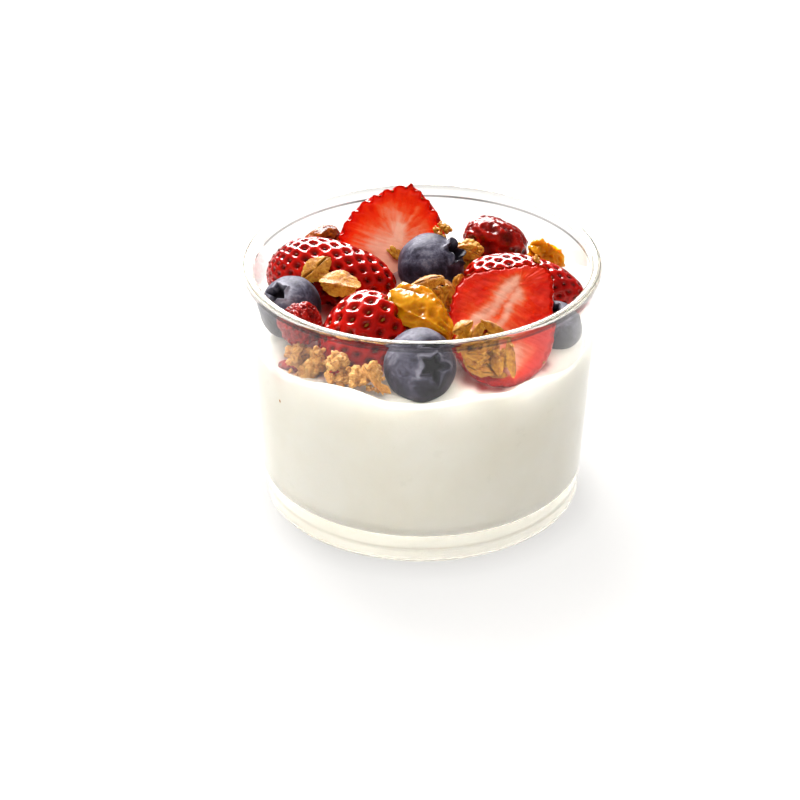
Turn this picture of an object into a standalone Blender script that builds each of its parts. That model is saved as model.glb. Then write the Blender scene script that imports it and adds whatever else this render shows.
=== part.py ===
"""A yogurt parfait with its glass.

The tumbler, the yogurt that fills it and every topping as large as a berry
are separate closed solids. All lengths are in metres and all angles in
degrees. The origin is under the middle of the glass, +Z is up, and the side
that faces -Y is the front.
"""

import math
import random

import bmesh
import bpy
from mathutils import Matrix, Vector

GAP = 0.0003                  # clearance that touching pieces keep
SHARP_ANGLE = 50              # edges bent by more than this stay sharp

# Glass tumbler
RIM_HEIGHT = 0.0592           # table to lip
RIM_RADIUS = 0.0410           # outside of the rounded lip
WALL_TOP_RADIUS = 0.0408      # outside of the wall, just under the lip
FOOT_RADIUS = 0.0368          # outside of the wall, just over the heel
WALL = 0.0022                 # wall thickness
BASE = 0.0060                 # thickness of the solid base
LIP_HEIGHT = 0.0024           # height of the rounded lip
HEEL = 0.0022                 # rounding between wall and underside
FLOOR_FILLET = 0.0045         # rounding between wall and inner floor
STAND_INNER = 0.0270          # the flat ring that the glass stands on
PUNT_DEPTH = 0.0006           # hollow inside that ring
GLASS_STEPS = 36
HEEL_STEPS = 3
LIP_STEPS = 8
LIP_START = -30               # where the round lip leaves the outside of the wall
LIP_END = 210                 # and where it comes back to the inside

# Yogurt
YOGURT_WALL_LEVEL = 0.0444    # where the yogurt meets the wall
YOGURT_MOUND = 0.0032         # how far the middle stands above that
YOGURT_SHOULDER = 3.5         # the higher, the closer the mound comes to the wall
YOGURT_LEAN = 0.9             # how much of the mound moves from the front to the back
YOGURT_SWELL_REACH = 3        # the higher, the closer to the wall the swells stay
YOGURT_RIPPLE = 0.0005        # height of the soft waves across the top
YOGURT_STEPS = 36
YOGURT_RINGS = 6
YOGURT_RING_SPREAD = 0.8      # under 1, the rings of the top crowd towards the wall
YOGURT_SIDE_RISES = (0.0, 0.25, 0.60, 1.0, 3.5)    # rings of the side, in fillets above its floor

# Places around the wall where the yogurt stands higher or lower:
# bearing from +X, half width of the swell in degrees, height.
YOGURT_SWELLS = (
    (212, 20, -0.0036),
    (241, 9, 0.0012),
    (257, 6, -0.0022),
    (269, 11, -0.0045),
    (-60, 9, -0.0012),
    (-31, 16, -0.0030),
    (30, 24, 0.0010),
    (75, 24, 0.0008),
    (130, 20, 0.0026),
)

# Fruit: each berry's long axis runs from the hulled end to the tip.
BERRY_STEPS = 14
BERRY_RINGS = 9
BERRY_LOBE = 0.025            # depth of the three soft lobes round a strawberry
BERRY_HOLLOW = 0.03           # dent at the hulled end, as a share of the length
STRAWBERRIES = {
    "strawberry_left": {
        "place": (-0.0205, 0.0085, 0.0497), "axis": (-1.0, 0.27, 0.02), "face": (0, -0.5, 1),
        "length": 0.0320, "width": 0.0185, "depth": 0.0185,
        "shoulder": 0.60, "neck": 2.0, "point": 2.2, "blunt": 0.52,
    },
    "strawberry_front": {
        "place": (-0.0134, -0.0168, 0.0474), "axis": (-0.62, -0.45, -0.30), "face": (0, -0.7, 1),
        "length": 0.0228, "width": 0.0205, "depth": 0.0200,
        "shoulder": 0.45, "neck": 2.6, "point": 1.8, "blunt": 0.65,
    },
    "strawberry_right": {
        "place": (0.0229, 0.0072, 0.0468), "axis": (1.0, -0.20, 0.05), "face": (0, -0.5, 1),
        "length": 0.0300, "width": 0.0190, "depth": 0.0180,
        "shoulder": 0.42, "neck": 2.4, "point": 1.8, "blunt": 0.62,
    },
}
SLICES = {
    "strawberry_slice_right": {
        "place": (0.0180, -0.0178, 0.0513), "axis": (0.07, 0.83, 0.56), "face": (0, -0.56, 0.83),
        "length": 0.0306, "width": 0.0240, "depth": 0.0085,
        "shoulder": 0.50, "neck": 2.0, "point": 3.6, "blunt": 0.30,
    },
    "strawberry_slice_back": {
        "place": (-0.0065, 0.0190, 0.0527), "axis": (0.27, 0.49, 0.85), "face": (0, -0.866, 0.5),
        "length": 0.0310, "width": 0.0264, "depth": 0.0080,
        "shoulder": 0.38, "neck": 2.6, "point": 2.6, "blunt": 0.88,
    },
}

# Blueberries: the axis points out of the crown. Tilts are measured from that
# axis, and reaches and heights are shares of the berry's radius.
BLUEBERRY_STEPS = 15
BLUEBERRY_TILTS = (10, 18, 25, 35, 56, 80, 104, 130, 156)
BLUEBERRY_FLATNESS = 0.07
CROWN_TEETH = 5
CROWN_TILT = 25
CROWN_WIDTH = 6
CROWN_RISE = 0.02
CROWN_TOOTH = 0.07
CUP_TILT = 19
CUP_SOFTNESS = 2.0
CUP_DEPTH = 0.16
BLUEBERRIES = {
    "blueberry_front": {
        "place": (-0.0005, -0.0285, 0.0476), "axis": (0.45, -0.86, 0.30), "radius": 0.0082,
    },
    "blueberry_left": {
        "place": (-0.0298, -0.0066, 0.0506), "axis": (-0.45, -0.45, 0.80), "radius": 0.0072,
    },
    "blueberry_top": {
        "place": (0.0022, 0.0072, 0.0534), "axis": (0.80, 0.15, 0.50), "radius": 0.0081,
    },
    "blueberry_right": {
        "place": (0.0302, -0.0100, 0.0475), "axis": (-0.20, -0.30, 0.93), "radius": 0.0058,
    },
}

# Dried fruit: size along the axis, across it, and through it.
DRIED_STEPS = 12
DRIED_RINGS = 7
DRIED_PLUMPNESS = 0.95        # mean reach, as a share of the stated half size
DRIED_BLUNTNESS = 0.8         # under 1, the ends are blunter than a ball's
DRIED_FOLD = 0.10
DRIED_DENT = 0.05
DRIED_TWIST = 1.5             # how far the folds may turn along the fruit, in radians
DRIED_FRUIT = {
    "cranberry_back": {
        "place": (0.0172, 0.0240, 0.0518), "axis": (0.90, 0.10, -0.42), "face": (0, -0.6, 0.8),
        "size": (0.0155, 0.0108, 0.0098), "folds": 3, "seed": 1,
    },
    "cranberry_left_back": {
        "place": (-0.0232, 0.0222, 0.0524), "axis": (0.9, 0.3, 0.4), "face": (0, -0.6, 0.8),
        "size": (0.0092, 0.0084, 0.0080), "folds": 3, "seed": 2,
    },
    "cranberry_front_left": {
        "place": (-0.0268, -0.0184, 0.0524), "axis": (-0.3, -0.35, 0.9), "face": (0, -1, 0.4),
        "size": (0.0108, 0.0096, 0.0088), "folds": 4, "seed": 3,
    },
    "cranberry_low": {
        "place": (-0.0293, -0.0195, 0.0413), "axis": (0.8, -0.6, 0.3), "face": (0, -1, 0.4),
        "size": (0.0046, 0.0038, 0.0034), "folds": 3, "seed": 4,
    },
    "raisin_centre": {
        "place": (0.0006, -0.0155, 0.0546), "axis": (0.74, -0.48, -0.42), "face": (0.3, -0.6, 0.8),
        "size": (0.0180, 0.0090, 0.0074), "folds": 3, "seed": 5,
    },
    "raisin_back": {
        "place": (0.0293, 0.0160, 0.0510), "axis": (0.85, -0.1, -0.5), "face": (0, -0.8, 0.6),
        "size": (0.0095, 0.0060, 0.0048), "folds": 3, "seed": 6,
    },
}

# Rolled oat flakes: length, width, thickness, and how far they curl.
FLAKE_STEPS = 14
FLAKE_TILTS = (28, 62, 90, 118, 152)
FLAKE_BLUNTNESS = 0.6         # under 1, the rim is blunter than a ball's
FLAKE_LOBE = 0.06             # unevenness of the outline
CREASE_DEPTH = 0.35           # share of the thickness
CREASE_WIDTH = 0.22           # share of the half width
OAT_FLAKES = {
    "oat_flake_left": {
        "place": (-0.0243, 0.0005, 0.0562), "axis": (0.75, 0.35, 0.50), "face": (-0.1, -0.70, 0.75),
        "size": (0.0082, 0.0058, 0.0016), "curl": 0.0010,
    },
    "oat_flake_middle": {
        "place": (-0.0187, -0.0032, 0.0546), "axis": (0.95, -0.1, -0.05), "face": (0.1, -0.6, 0.8),
        "size": (0.0096, 0.0068, 0.0018), "curl": 0.0012,
    },
}

# Granola: size across, through and up, the bearing that the cluster faces,
# how many lumps are baked together, and how many steps go round the cluster.
GRANOLA = {
    "oat_cluster_centre": {
        "place": (0.0032, -0.0050, 0.0520), "size": (0.0130, 0.0080, 0.0110),
        "bearing": 270, "lumps": 9, "steps": 14, "seed": 11,
    },
    "granola_right": {
        "place": (0.0140, -0.0272, 0.0506), "size": (0.0148, 0.0096, 0.0142),
        "bearing": 280, "lumps": 11, "steps": 14, "seed": 12,
    },
    "granola_back": {
        "place": (0.0100, 0.0165, 0.0520), "size": (0.0096, 0.0070, 0.0090),
        "bearing": 270, "lumps": 7, "steps": 10, "seed": 13,
    },
    "granola_back_small": {
        "place": (0.0042, 0.0174, 0.0562), "size": (0.0062, 0.0048, 0.0080),
        "bearing": 270, "lumps": 5, "steps": 8, "seed": 14,
    },
    "granola_front_left": {
        "place": (-0.0255, -0.0220, 0.0434), "size": (0.0112, 0.0070, 0.0102),
        "bearing": 221, "lumps": 8, "steps": 12, "seed": 15,
    },
    "granola_front_middle": {
        "place": (-0.0187, -0.0284, 0.0458), "size": (0.0066, 0.0060, 0.0086),
        "bearing": 237, "lumps": 6, "steps": 10, "seed": 16,
    },
    "granola_front_right": {
        "place": (-0.0113, -0.0320, 0.0448), "size": (0.0098, 0.0062, 0.0084),
        "bearing": 249, "lumps": 7, "steps": 12, "seed": 17,
    },
}

# Lumps of a cluster, as shares of its reach.
CLUSTER_CORE = 0.62           # solid middle
CLUSTER_BLEND = 8             # the higher, the sharper the creases between lumps
LUMP_PLACE = (0.50, 0.68)     # nearest and farthest lump, from the middle
LUMP_RADIUS = (0.30, 0.46)
LUMP_SHUFFLE = 0.4            # how far a lump leaves its even place, in radians

COLOURS = {
    "glass": ((0.86, 0.90, 0.89), 0.05),
    "yogurt": ((0.90, 0.88, 0.82), 0.45),
    "strawberry": ((0.55, 0.02, 0.01), 0.30),
    "strawberry_cut": ((0.80, 0.12, 0.05), 0.35),
    "blueberry": ((0.06, 0.08, 0.16), 0.50),
    "cranberry": ((0.25, 0.01, 0.01), 0.30),
    "raisin": ((0.70, 0.38, 0.03), 0.30),
    "oat": ((0.62, 0.38, 0.13), 0.65),
}


def clear_scene():
    for item in list(bpy.data.objects):
        bpy.data.objects.remove(item, do_unlink=True)


def make_material(name):
    colour, roughness = COLOURS[name]
    material = bpy.data.materials.new(name)
    material.use_nodes = True
    shader = material.node_tree.nodes["Principled BSDF"]
    shader.inputs["Base Color"].default_value = (*colour, 1.0)
    shader.inputs["Roughness"].default_value = roughness
    shader.inputs["Metallic"].default_value = 0.0
    if name == "glass":
        shader.inputs["Transmission Weight"].default_value = 1.0
    material.diffuse_color = (*colour, 1.0)
    return material


def make_object(name, body, material):
    """Turn a bmesh body into a named object with its own material."""
    mesh = bpy.data.meshes.new(name)
    body.to_mesh(mesh)
    body.free()
    mesh.shade_smooth()
    mesh.set_sharp_from_angle(angle=math.radians(SHARP_ANGLE))
    mesh.materials.append(material)
    item = bpy.data.objects.new(name, mesh)
    bpy.context.scene.collection.objects.link(item)
    return item


def ring_body(rings, start, end):
    """Close a stack of equal rings with one point at each end."""
    body = bmesh.new()
    loops = [[body.verts.new(point) for point in ring] for ring in rings]
    first = body.verts.new(start)
    last = body.verts.new(end)
    count = len(rings[0])
    for step in range(count):
        after = (step + 1) % count
        body.faces.new((first, loops[0][after], loops[0][step]))
        for low, high in zip(loops, loops[1:]):
            body.faces.new((low[step], low[after], high[after], high[step]))
        body.faces.new((last, loops[-1][step], loops[-1][after]))
    bmesh.ops.recalc_face_normals(body, faces=body.faces)
    return body


def stand(body, place, axis=(0, 0, 1), face=(0, -1, 0)):
    """Turn local +Z to the axis and local +Y to the face, then move to the place."""
    up = Vector(axis).normalized()
    out = (Vector(face) - up * Vector(face).dot(up)).normalized()
    side = out.cross(up)
    turn = Matrix((side, out, up)).transposed().to_4x4()
    body.transform(Matrix.Translation(place) @ turn)
    return body


def arc(centre, radius, start, end, steps):
    """Points on an arc in the profile plane, angles in degrees from outwards."""
    points = []
    for step in range(steps + 1):
        angle = math.radians(start + (end - start) * step / steps)
        points.append((centre[0] + radius * math.cos(angle), centre[1] + radius * math.sin(angle)))
    return points


def wall_radius(height):
    """Outer radius of the straight, slightly flared wall."""
    low = HEEL
    high = RIM_HEIGHT - LIP_HEIGHT
    share = (height - low) / (high - low)
    return FOOT_RADIUS + (WALL_TOP_RADIUS - FOOT_RADIUS) * share


def inner_radius(height):
    """Radius of the inside, with the fillet at its floor."""
    straight = wall_radius(height) - WALL
    above_floor = height - BASE
    if above_floor >= FLOOR_FILLET:
        return straight
    drop = FLOOR_FILLET - above_floor
    return straight - FLOOR_FILLET + math.sqrt(max(0.0, FLOOR_FILLET ** 2 - drop ** 2))


def glass_profile():
    """Half section of the tumbler, from its underside up, over the lip and down inside."""
    heel_centre = (wall_radius(HEEL) - HEEL, HEEL)
    lip_half = LIP_HEIGHT / 2
    lip_width = (RIM_RADIUS - (WALL_TOP_RADIUS - WALL)) / 2
    lip_centre = (RIM_RADIUS - lip_width, RIM_HEIGHT - lip_half)
    fillet_top = BASE + FLOOR_FILLET
    fillet_centre = (wall_radius(fillet_top) - WALL - FLOOR_FILLET, fillet_top)
    points = [(0.0, PUNT_DEPTH), (STAND_INNER - 2 * PUNT_DEPTH, PUNT_DEPTH), (STAND_INNER, 0.0)]
    points += arc(heel_centre, HEEL, -90, 0, HEEL_STEPS)
    points.append((wall_radius(RIM_HEIGHT / 2), RIM_HEIGHT / 2))
    for outward, upward in arc((0, 0), 1.0, LIP_START, LIP_END, LIP_STEPS):
        points.append((lip_centre[0] + lip_width * outward, lip_centre[1] + lip_half * upward))
    points.append((inner_radius(RIM_HEIGHT / 2), RIM_HEIGHT / 2))
    points += arc(fillet_centre, FLOOR_FILLET, 0, -90, HEEL_STEPS)
    points.append((0.0, BASE))
    return points


def build_glass(material):
    body = bmesh.new()
    profile = [body.verts.new((radius, 0, height)) for radius, height in glass_profile()]
    edges = [body.edges.new(pair) for pair in zip(profile, profile[1:])]
    bmesh.ops.spin(
        body, geom=profile + edges, cent=(0, 0, 0), axis=(0, 0, 1),
        angle=math.tau, steps=GLASS_STEPS, use_merge=True,
    )
    bmesh.ops.remove_doubles(body, verts=body.verts, dist=0.000001)
    bmesh.ops.recalc_face_normals(body, faces=body.faces)
    return make_object("glass", body, material)


def yogurt_level(share, bearing):
    """Height of the yogurt's top at a share of the radius and a bearing."""
    lean = 1 + YOGURT_LEAN * share * math.sin(math.radians(bearing))
    level = YOGURT_WALL_LEVEL + YOGURT_MOUND * (1 - share ** YOGURT_SHOULDER) * lean
    for middle, half_width, height in YOGURT_SWELLS:
        away = (bearing - middle + 180) % 360 - 180
        level += height * math.exp(-(away / half_width) ** 2) * share ** YOGURT_SWELL_REACH
    ripple = math.sin(math.radians(3 * bearing) + 9 * share)
    return level + YOGURT_RIPPLE * ripple * share


def round_point(radius, bearing, height):
    angle = math.radians(bearing)
    return (radius * math.cos(angle), radius * math.sin(angle), height)


def build_yogurt(material):
    bearings = [360 * step / YOGURT_STEPS for step in range(YOGURT_STEPS)]
    floor = BASE + GAP
    rings = []
    for rise in YOGURT_SIDE_RISES:
        height = floor + FLOOR_FILLET * rise
        radius = inner_radius(height) - GAP
        rings.append([round_point(radius, bearing, height) for bearing in bearings])
    for step in range(YOGURT_RINGS, 0, -1):
        share = (step / YOGURT_RINGS) ** YOGURT_RING_SPREAD
        ring = []
        for bearing in bearings:
            height = yogurt_level(share, bearing)
            ring.append(round_point((inner_radius(height) - GAP) * share, bearing, height))
        rings.append(ring)
    body = ring_body(rings, (0, 0, floor), (0, 0, yogurt_level(0, 0)))
    return make_object("yogurt", body, material)


def berry_taper(along, shape):
    """Radius of a strawberry as a share of its widest, from hulled end to tip."""
    shoulder = shape["shoulder"]
    if along < shoulder:
        return (1 - ((shoulder - along) / shoulder) ** shape["neck"]) ** (1 / shape["neck"])
    return (1 - ((along - shoulder) / (1 - shoulder)) ** shape["point"]) ** shape["blunt"]


def strawberry_body(shape, phase):
    """A whole strawberry along +Z, slightly lobed, centred on the origin."""
    length, width, depth = shape["length"], shape["width"], shape["depth"]
    rings = []
    for level in range(1, BERRY_RINGS + 1):
        along = 0.5 - 0.5 * math.cos(math.pi * level / (BERRY_RINGS + 1))
        share = berry_taper(along, shape)
        ring = []
        for step in range(BERRY_STEPS):
            angle = math.tau * (step + 0.5) / BERRY_STEPS
            lobe = 1 + BERRY_LOBE * math.cos(3 * angle + phase) * math.sin(math.pi * along)
            across = width / 2 * share * lobe * math.cos(angle)
            through = depth / 2 * share * lobe * math.sin(angle)
            ring.append((across, through, length * (along - 0.5)))
        rings.append(ring)
    hollow = length * BERRY_HOLLOW
    return ring_body(rings, (0, 0, hollow - length / 2), (0, 0, length / 2))


def build_strawberry(name, shape, material, phase):
    body = strawberry_body(shape, phase)
    return make_object(name, stand(body, shape["place"], shape["axis"], shape["face"]), material)


def build_slice(name, shape, material, phase):
    """A lengthwise slice: the cut face looks along +Y, the skin curves behind it."""
    full = dict(shape, depth=shape["depth"] * 2)
    body = strawberry_body(full, phase)
    geometry = body.verts[:] + body.edges[:] + body.faces[:]
    cut = bmesh.ops.bisect_plane(
        body, geom=geometry, plane_co=(0, GAP, 0), plane_no=(0, 1, 0), clear_outer=True,
    )
    rim = [part for part in cut["geom_cut"] if isinstance(part, bmesh.types.BMEdge)]
    bmesh.ops.contextual_create(body, geom=rim)
    bmesh.ops.recalc_face_normals(body, faces=body.faces)
    return make_object(name, stand(body, shape["place"], shape["axis"], shape["face"]), material)


def blueberry_reach(tilt, angle):
    """Distance from the centre, as a share of the radius: a flattened ball with a crown."""
    reach = 1 - BLUEBERRY_FLATNESS * math.cos(math.radians(tilt)) ** 2
    rim = math.exp(-((tilt - CROWN_TILT) / CROWN_WIDTH) ** 2)
    cup = 1 / (1 + math.exp((tilt - CUP_TILT) / CUP_SOFTNESS))
    teeth = 0.5 + 0.5 * math.cos(CROWN_TEETH * angle)
    return reach + rim * (CROWN_RISE + CROWN_TOOTH * teeth) - CUP_DEPTH * cup


def build_blueberry(name, shape, material):
    radius = shape["radius"]
    rings = []
    for tilt in BLUEBERRY_TILTS:
        ring = []
        for step in range(BLUEBERRY_STEPS):
            angle = math.tau * step / BLUEBERRY_STEPS
            reach = radius * blueberry_reach(tilt, angle)
            flat = reach * math.sin(math.radians(tilt))
            height = reach * math.cos(math.radians(tilt))
            ring.append((flat * math.cos(angle), flat * math.sin(angle), height))
        rings.append(ring)
    top = radius * blueberry_reach(0, 0)
    bottom = radius * blueberry_reach(180, 0)
    body = ring_body(rings, (0, 0, top), (0, 0, -bottom))
    return make_object(name, stand(body, shape["place"], shape["axis"]), material)


def build_dried(name, shape, material):
    """A dried berry: an uneven ellipsoid with folds along its length."""
    draw = random.Random(shape["seed"])
    phase = draw.uniform(0, math.tau)
    twist = draw.uniform(-DRIED_TWIST, DRIED_TWIST)
    length, width, depth = shape["size"]
    rings = []
    for level in range(1, DRIED_RINGS + 1):
        tilt = math.pi * level / (DRIED_RINGS + 1)
        along = -math.cos(tilt)
        ring = []
        for step in range(DRIED_STEPS):
            angle = math.tau * step / DRIED_STEPS
            fold = DRIED_FOLD * math.cos(shape["folds"] * angle + phase + twist * along)
            dent = draw.uniform(-DRIED_DENT, DRIED_DENT)
            reach = math.sin(tilt) ** DRIED_BLUNTNESS * (DRIED_PLUMPNESS + fold + dent)
            across = width / 2 * reach * math.cos(angle)
            through = depth / 2 * reach * math.sin(angle)
            ring.append((across, through, length / 2 * along))
        rings.append(ring)
    body = ring_body(rings, (0, 0, -length / 2), (0, 0, length / 2))
    return make_object(name, stand(body, shape["place"], shape["axis"], shape["face"]), material)


def build_flake(name, shape, material):
    """A rolled oat: a thin oval, curled along its length and creased down its middle."""
    length, width, thickness = shape["size"]
    rings = []
    for tilt in FLAKE_TILTS:
        spread = math.sin(math.radians(tilt)) ** FLAKE_BLUNTNESS
        lift = thickness / 2 * math.cos(math.radians(tilt))
        ring = []
        for step in range(FLAKE_STEPS):
            angle = math.tau * step / FLAKE_STEPS
            across = spread * math.cos(angle)
            along = spread * math.sin(angle) * (1 + FLAKE_LOBE * math.cos(3 * angle))
            crease = CREASE_DEPTH * thickness * math.exp(-(across / CREASE_WIDTH) ** 2)
            curl = shape["curl"] * (across ** 2 - 0.5)
            ring.append((width / 2 * across, lift - crease - curl, length / 2 * along))
        rings.append(ring)
    sunk = shape["curl"] / 2 - CREASE_DEPTH * thickness
    body = ring_body(rings, (0, thickness / 2 + sunk, 0), (0, -thickness / 2 + sunk, 0))
    return make_object(name, stand(body, shape["place"], shape["axis"], shape["face"]), material)


def lump_reach(direction, lumps):
    """How far the core and the lumps baked onto it reach in one direction."""
    reaches = CLUSTER_CORE ** CLUSTER_BLEND
    for centre, radius in lumps:
        forward = direction.dot(centre)
        inside = forward ** 2 - centre.length_squared + radius ** 2
        if inside > 0 and forward > 0:
            reaches += (forward + math.sqrt(inside)) ** CLUSTER_BLEND
    return reaches ** (1 / CLUSTER_BLEND)


def build_granola(name, shape, material):
    """A granola cluster: lumps of different sizes round a core, drawn to the stated size."""
    draw = random.Random(shape["seed"])
    golden = math.pi * (3 - math.sqrt(5))
    lumps = []
    for number in range(shape["lumps"]):
        height = 1 - 2 * (number + 0.5) / shape["lumps"]
        flat = math.sqrt(1 - height ** 2)
        turn = golden * number + draw.uniform(-LUMP_SHUFFLE, LUMP_SHUFFLE)
        outward = Vector((flat * math.cos(turn), flat * math.sin(turn), height))
        lumps.append((outward * draw.uniform(*LUMP_PLACE), draw.uniform(*LUMP_RADIUS)))
    levels = shape["steps"] // 2 + 1
    rings = []
    for level in range(1, levels + 1):
        tilt = math.pi * level / (levels + 1)
        ring = []
        for step in range(shape["steps"]):
            angle = math.tau * (step + 0.5 * level) / shape["steps"]
            flat = math.sin(tilt)
            direction = Vector((flat * math.cos(angle), flat * math.sin(angle), -math.cos(tilt)))
            ring.append(direction * lump_reach(direction, lumps))
        rings.append(ring)
    body = ring_body(rings, (0, 0, -CLUSTER_CORE), (0, 0, CLUSTER_CORE))
    scale_to(body, shape["size"])
    stand(body, shape["place"], face=round_point(1, shape["bearing"], 0))
    return make_object(name, body, material)


def scale_to(body, size):
    """Centre the body on the origin and draw it to the size along X, Y and Z."""
    for axis in range(3):
        low = min(vertex.co[axis] for vertex in body.verts)
        high = max(vertex.co[axis] for vertex in body.verts)
        for vertex in body.verts:
            vertex.co[axis] = (vertex.co[axis] - (low + high) / 2) * size[axis] / (high - low)


def grown_cutter(item):
    """A hidden copy of an object, its skin moved out by the gap."""
    body = bmesh.new()
    body.from_mesh(item.data)
    body.normal_update()
    for vertex in body.verts:
        vertex.co += vertex.normal * GAP
    mesh = bpy.data.meshes.new("cut_" + item.name)
    body.to_mesh(mesh)
    body.free()
    cutter = bpy.data.objects.new("cut_" + item.name, mesh)
    bpy.context.scene.collection.objects.link(cutter)
    cutter.hide_render = True
    cutter.display_type = "WIRE"
    return cutter


def boxes_touch(one, other):
    """Whether the boxes of two unmoved objects come within the gap of each other."""
    for axis in range(3):
        one_span = [vertex.co[axis] for vertex in one.data.vertices]
        other_span = [vertex.co[axis] for vertex in other.data.vertices]
        if min(one_span) > max(other_span) + GAP or min(other_span) > max(one_span) + GAP:
            return False
    return True


def cut_round(item, cutters):
    """Cut the object back wherever an earlier piece already lies.

    Berries that lean on the wall only graze the yogurt's side, and the EXACT
    solver loses the yogurt there, so all cuts use the MANIFOLD one.
    """
    for cutter in cutters:
        if boxes_touch(item, cutter):
            cut = item.modifiers.new("round_" + cutter.name, "BOOLEAN")
            cut.operation = "DIFFERENCE"
            cut.solver = "MANIFOLD"
            cut.object = cutter


def main():
    clear_scene()
    materials = {name: make_material(name) for name in COLOURS}
    build_glass(materials["glass"])
    toppings = []
    for phase, (name, shape) in enumerate(STRAWBERRIES.items()):
        toppings.append(build_strawberry(name, shape, materials["strawberry"], phase))
    for phase, (name, shape) in enumerate(SLICES.items()):
        toppings.append(build_slice(name, shape, materials["strawberry_cut"], phase))
    for name, shape in BLUEBERRIES.items():
        toppings.append(build_blueberry(name, shape, materials["blueberry"]))
    for name, shape in DRIED_FRUIT.items():
        toppings.append(build_dried(name, shape, materials[name.split("_")[0]]))
    for name, shape in OAT_FLAKES.items():
        toppings.append(build_flake(name, shape, materials["oat"]))
    for name, shape in GRANOLA.items():
        toppings.append(build_granola(name, shape, materials["oat"]))
    cutters = []
    for item in toppings:
        cut_round(item, cutters)
        cutters.append(grown_cutter(item))
    cut_round(build_yogurt(materials["yogurt"]), cutters)


main()
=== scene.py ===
import math

import bpy
import numpy as np
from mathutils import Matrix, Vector
from mathutils.bvhtree import BVHTree
from mathutils.kdtree import KDTree


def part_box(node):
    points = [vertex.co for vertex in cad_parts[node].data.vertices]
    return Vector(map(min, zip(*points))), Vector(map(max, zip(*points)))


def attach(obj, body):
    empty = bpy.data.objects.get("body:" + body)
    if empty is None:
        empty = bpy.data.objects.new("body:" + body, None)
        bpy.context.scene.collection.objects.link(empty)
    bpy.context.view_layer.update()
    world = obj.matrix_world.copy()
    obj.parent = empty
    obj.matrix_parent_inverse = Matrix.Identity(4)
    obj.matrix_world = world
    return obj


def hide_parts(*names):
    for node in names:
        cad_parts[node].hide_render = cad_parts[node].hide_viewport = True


# Yogurt parfait in a glass: the frame gives every place and size, this script gives the finish.
# Directions are given as in the frame: +Z up, -Y towards the viewer.

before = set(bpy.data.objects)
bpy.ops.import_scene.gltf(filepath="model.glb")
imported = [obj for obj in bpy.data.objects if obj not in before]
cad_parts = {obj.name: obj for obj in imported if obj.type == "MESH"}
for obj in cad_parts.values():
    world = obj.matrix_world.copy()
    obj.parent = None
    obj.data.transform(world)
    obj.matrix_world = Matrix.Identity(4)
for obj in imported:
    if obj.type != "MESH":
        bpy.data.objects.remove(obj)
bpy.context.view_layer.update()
goldenTurn = math.pi * (3 - math.sqrt(5))    # spreads points evenly round a shape
tiny = 1e-12


def cadPoints(node):
    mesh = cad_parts[node].data
    points = np.empty(len(mesh.vertices) * 3)
    mesh.vertices.foreach_get("co", points)
    return points.reshape(-1, 3)


def unit(direction):
    direction = np.asarray(direction, float)
    return direction / np.linalg.norm(direction)


def ownAxes(axis, face):
    up = unit(axis)
    out = unit(np.asarray(face, float) - up * np.dot(face, up))
    return np.stack([np.cross(out, up), out, up], axis=1)    # columns: side, out, up


def ownFrame(node, axis, face=(0, -1, 0)):
    # middle and half sizes of a frame node, measured along its own directions
    turn = ownAxes(axis, face)
    local = cadPoints(node) @ turn
    low, high = local.min(axis=0), local.max(axis=0)
    return {"turn": turn, "middle": turn @ ((low + high) / 2), "half": (high - low) / 2}


def intoPlace(points, place):
    return points @ place["turn"].T + place["middle"]


def smoothStep(low, high, value):
    share = np.clip((value - low) / (high - low), 0, 1)
    return share * share * (3 - 2 * share)


def softNoise(points, size, seed=0):
    # gradient noise, about -1 to 1
    spot = points / size + seed * 7.31
    cell = np.floor(spot).astype(np.int64)
    inside = spot - cell
    ease = inside ** 3 * (inside * (inside * 6 - 15) + 10)
    total = np.zeros(len(points))
    for corner in range(8):
        offset = np.array([corner & 1, corner >> 1 & 1, corner >> 2])
        key = (cell + offset) @ np.array([73856093, 19349663, 83492791])
        key = ((key ^ (key >> 13)) * 1274126177 + seed * 7919) & 0x7FFFFFFF
        key = ((key ^ (key >> 11)) * 668265263) & 0x7FFFFFFF
        turn = (key % 1024) / 1024 * math.tau
        lift = (key >> 10) % 1024 / 512 - 1
        flat = np.sqrt(1 - lift ** 2)
        away = inside - offset
        slope = away[:, 0] * flat * np.cos(turn) + away[:, 1] * flat * np.sin(turn) + away[:, 2] * lift
        total += np.prod(np.where(offset, ease, 1 - ease), axis=1) * slope
    return total * 1.6


def roughNoise(points, size, seed=0, layers=3):
    total = np.zeros(len(points))
    for layer in range(layers):
        total += softNoise(points, size / 2 ** layer, seed + layer) / 2 ** layer
    return total


def ridgeNoise(points, size, seed=0):
    return 1 - np.abs(softNoise(points, size, seed)) * 2


def nearestOf(points, centres):
    # index of the nearest centre, distances to it and to the next one
    tree = KDTree(len(centres))
    for number, centre in enumerate(centres):
        tree.insert(centre, number)
    tree.balance()
    index = np.empty(len(points), int)
    near = np.empty(len(points))
    nextNear = np.empty(len(points))
    for number, point in enumerate(points):
        found = tree.find_n(point, 2)
        index[number] = found[0][1]
        near[number] = found[0][2]
        nextNear[number] = found[-1][2]
    return index, near, nextNear


def ringFaces(rows, steps):
    # quads and triangles of a stack of closed rings with one more point at each end
    low = np.arange(rows - 1)[:, None] * steps
    step = np.arange(steps)[None, :]
    after = (step + 1) % steps
    quads = np.stack([low + step, low + after, low + steps + after, low + steps + step], axis=-1)
    step, after = step[0], after[0]
    first, last, end = rows * steps, rows * steps + 1, (rows - 1) * steps
    bottom = np.stack([np.full(steps, first), after, step], axis=-1)
    top = np.stack([np.full(steps, last), end + step, end + after], axis=-1)
    return quads.reshape(-1, 4), np.concatenate([bottom, top])


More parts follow.
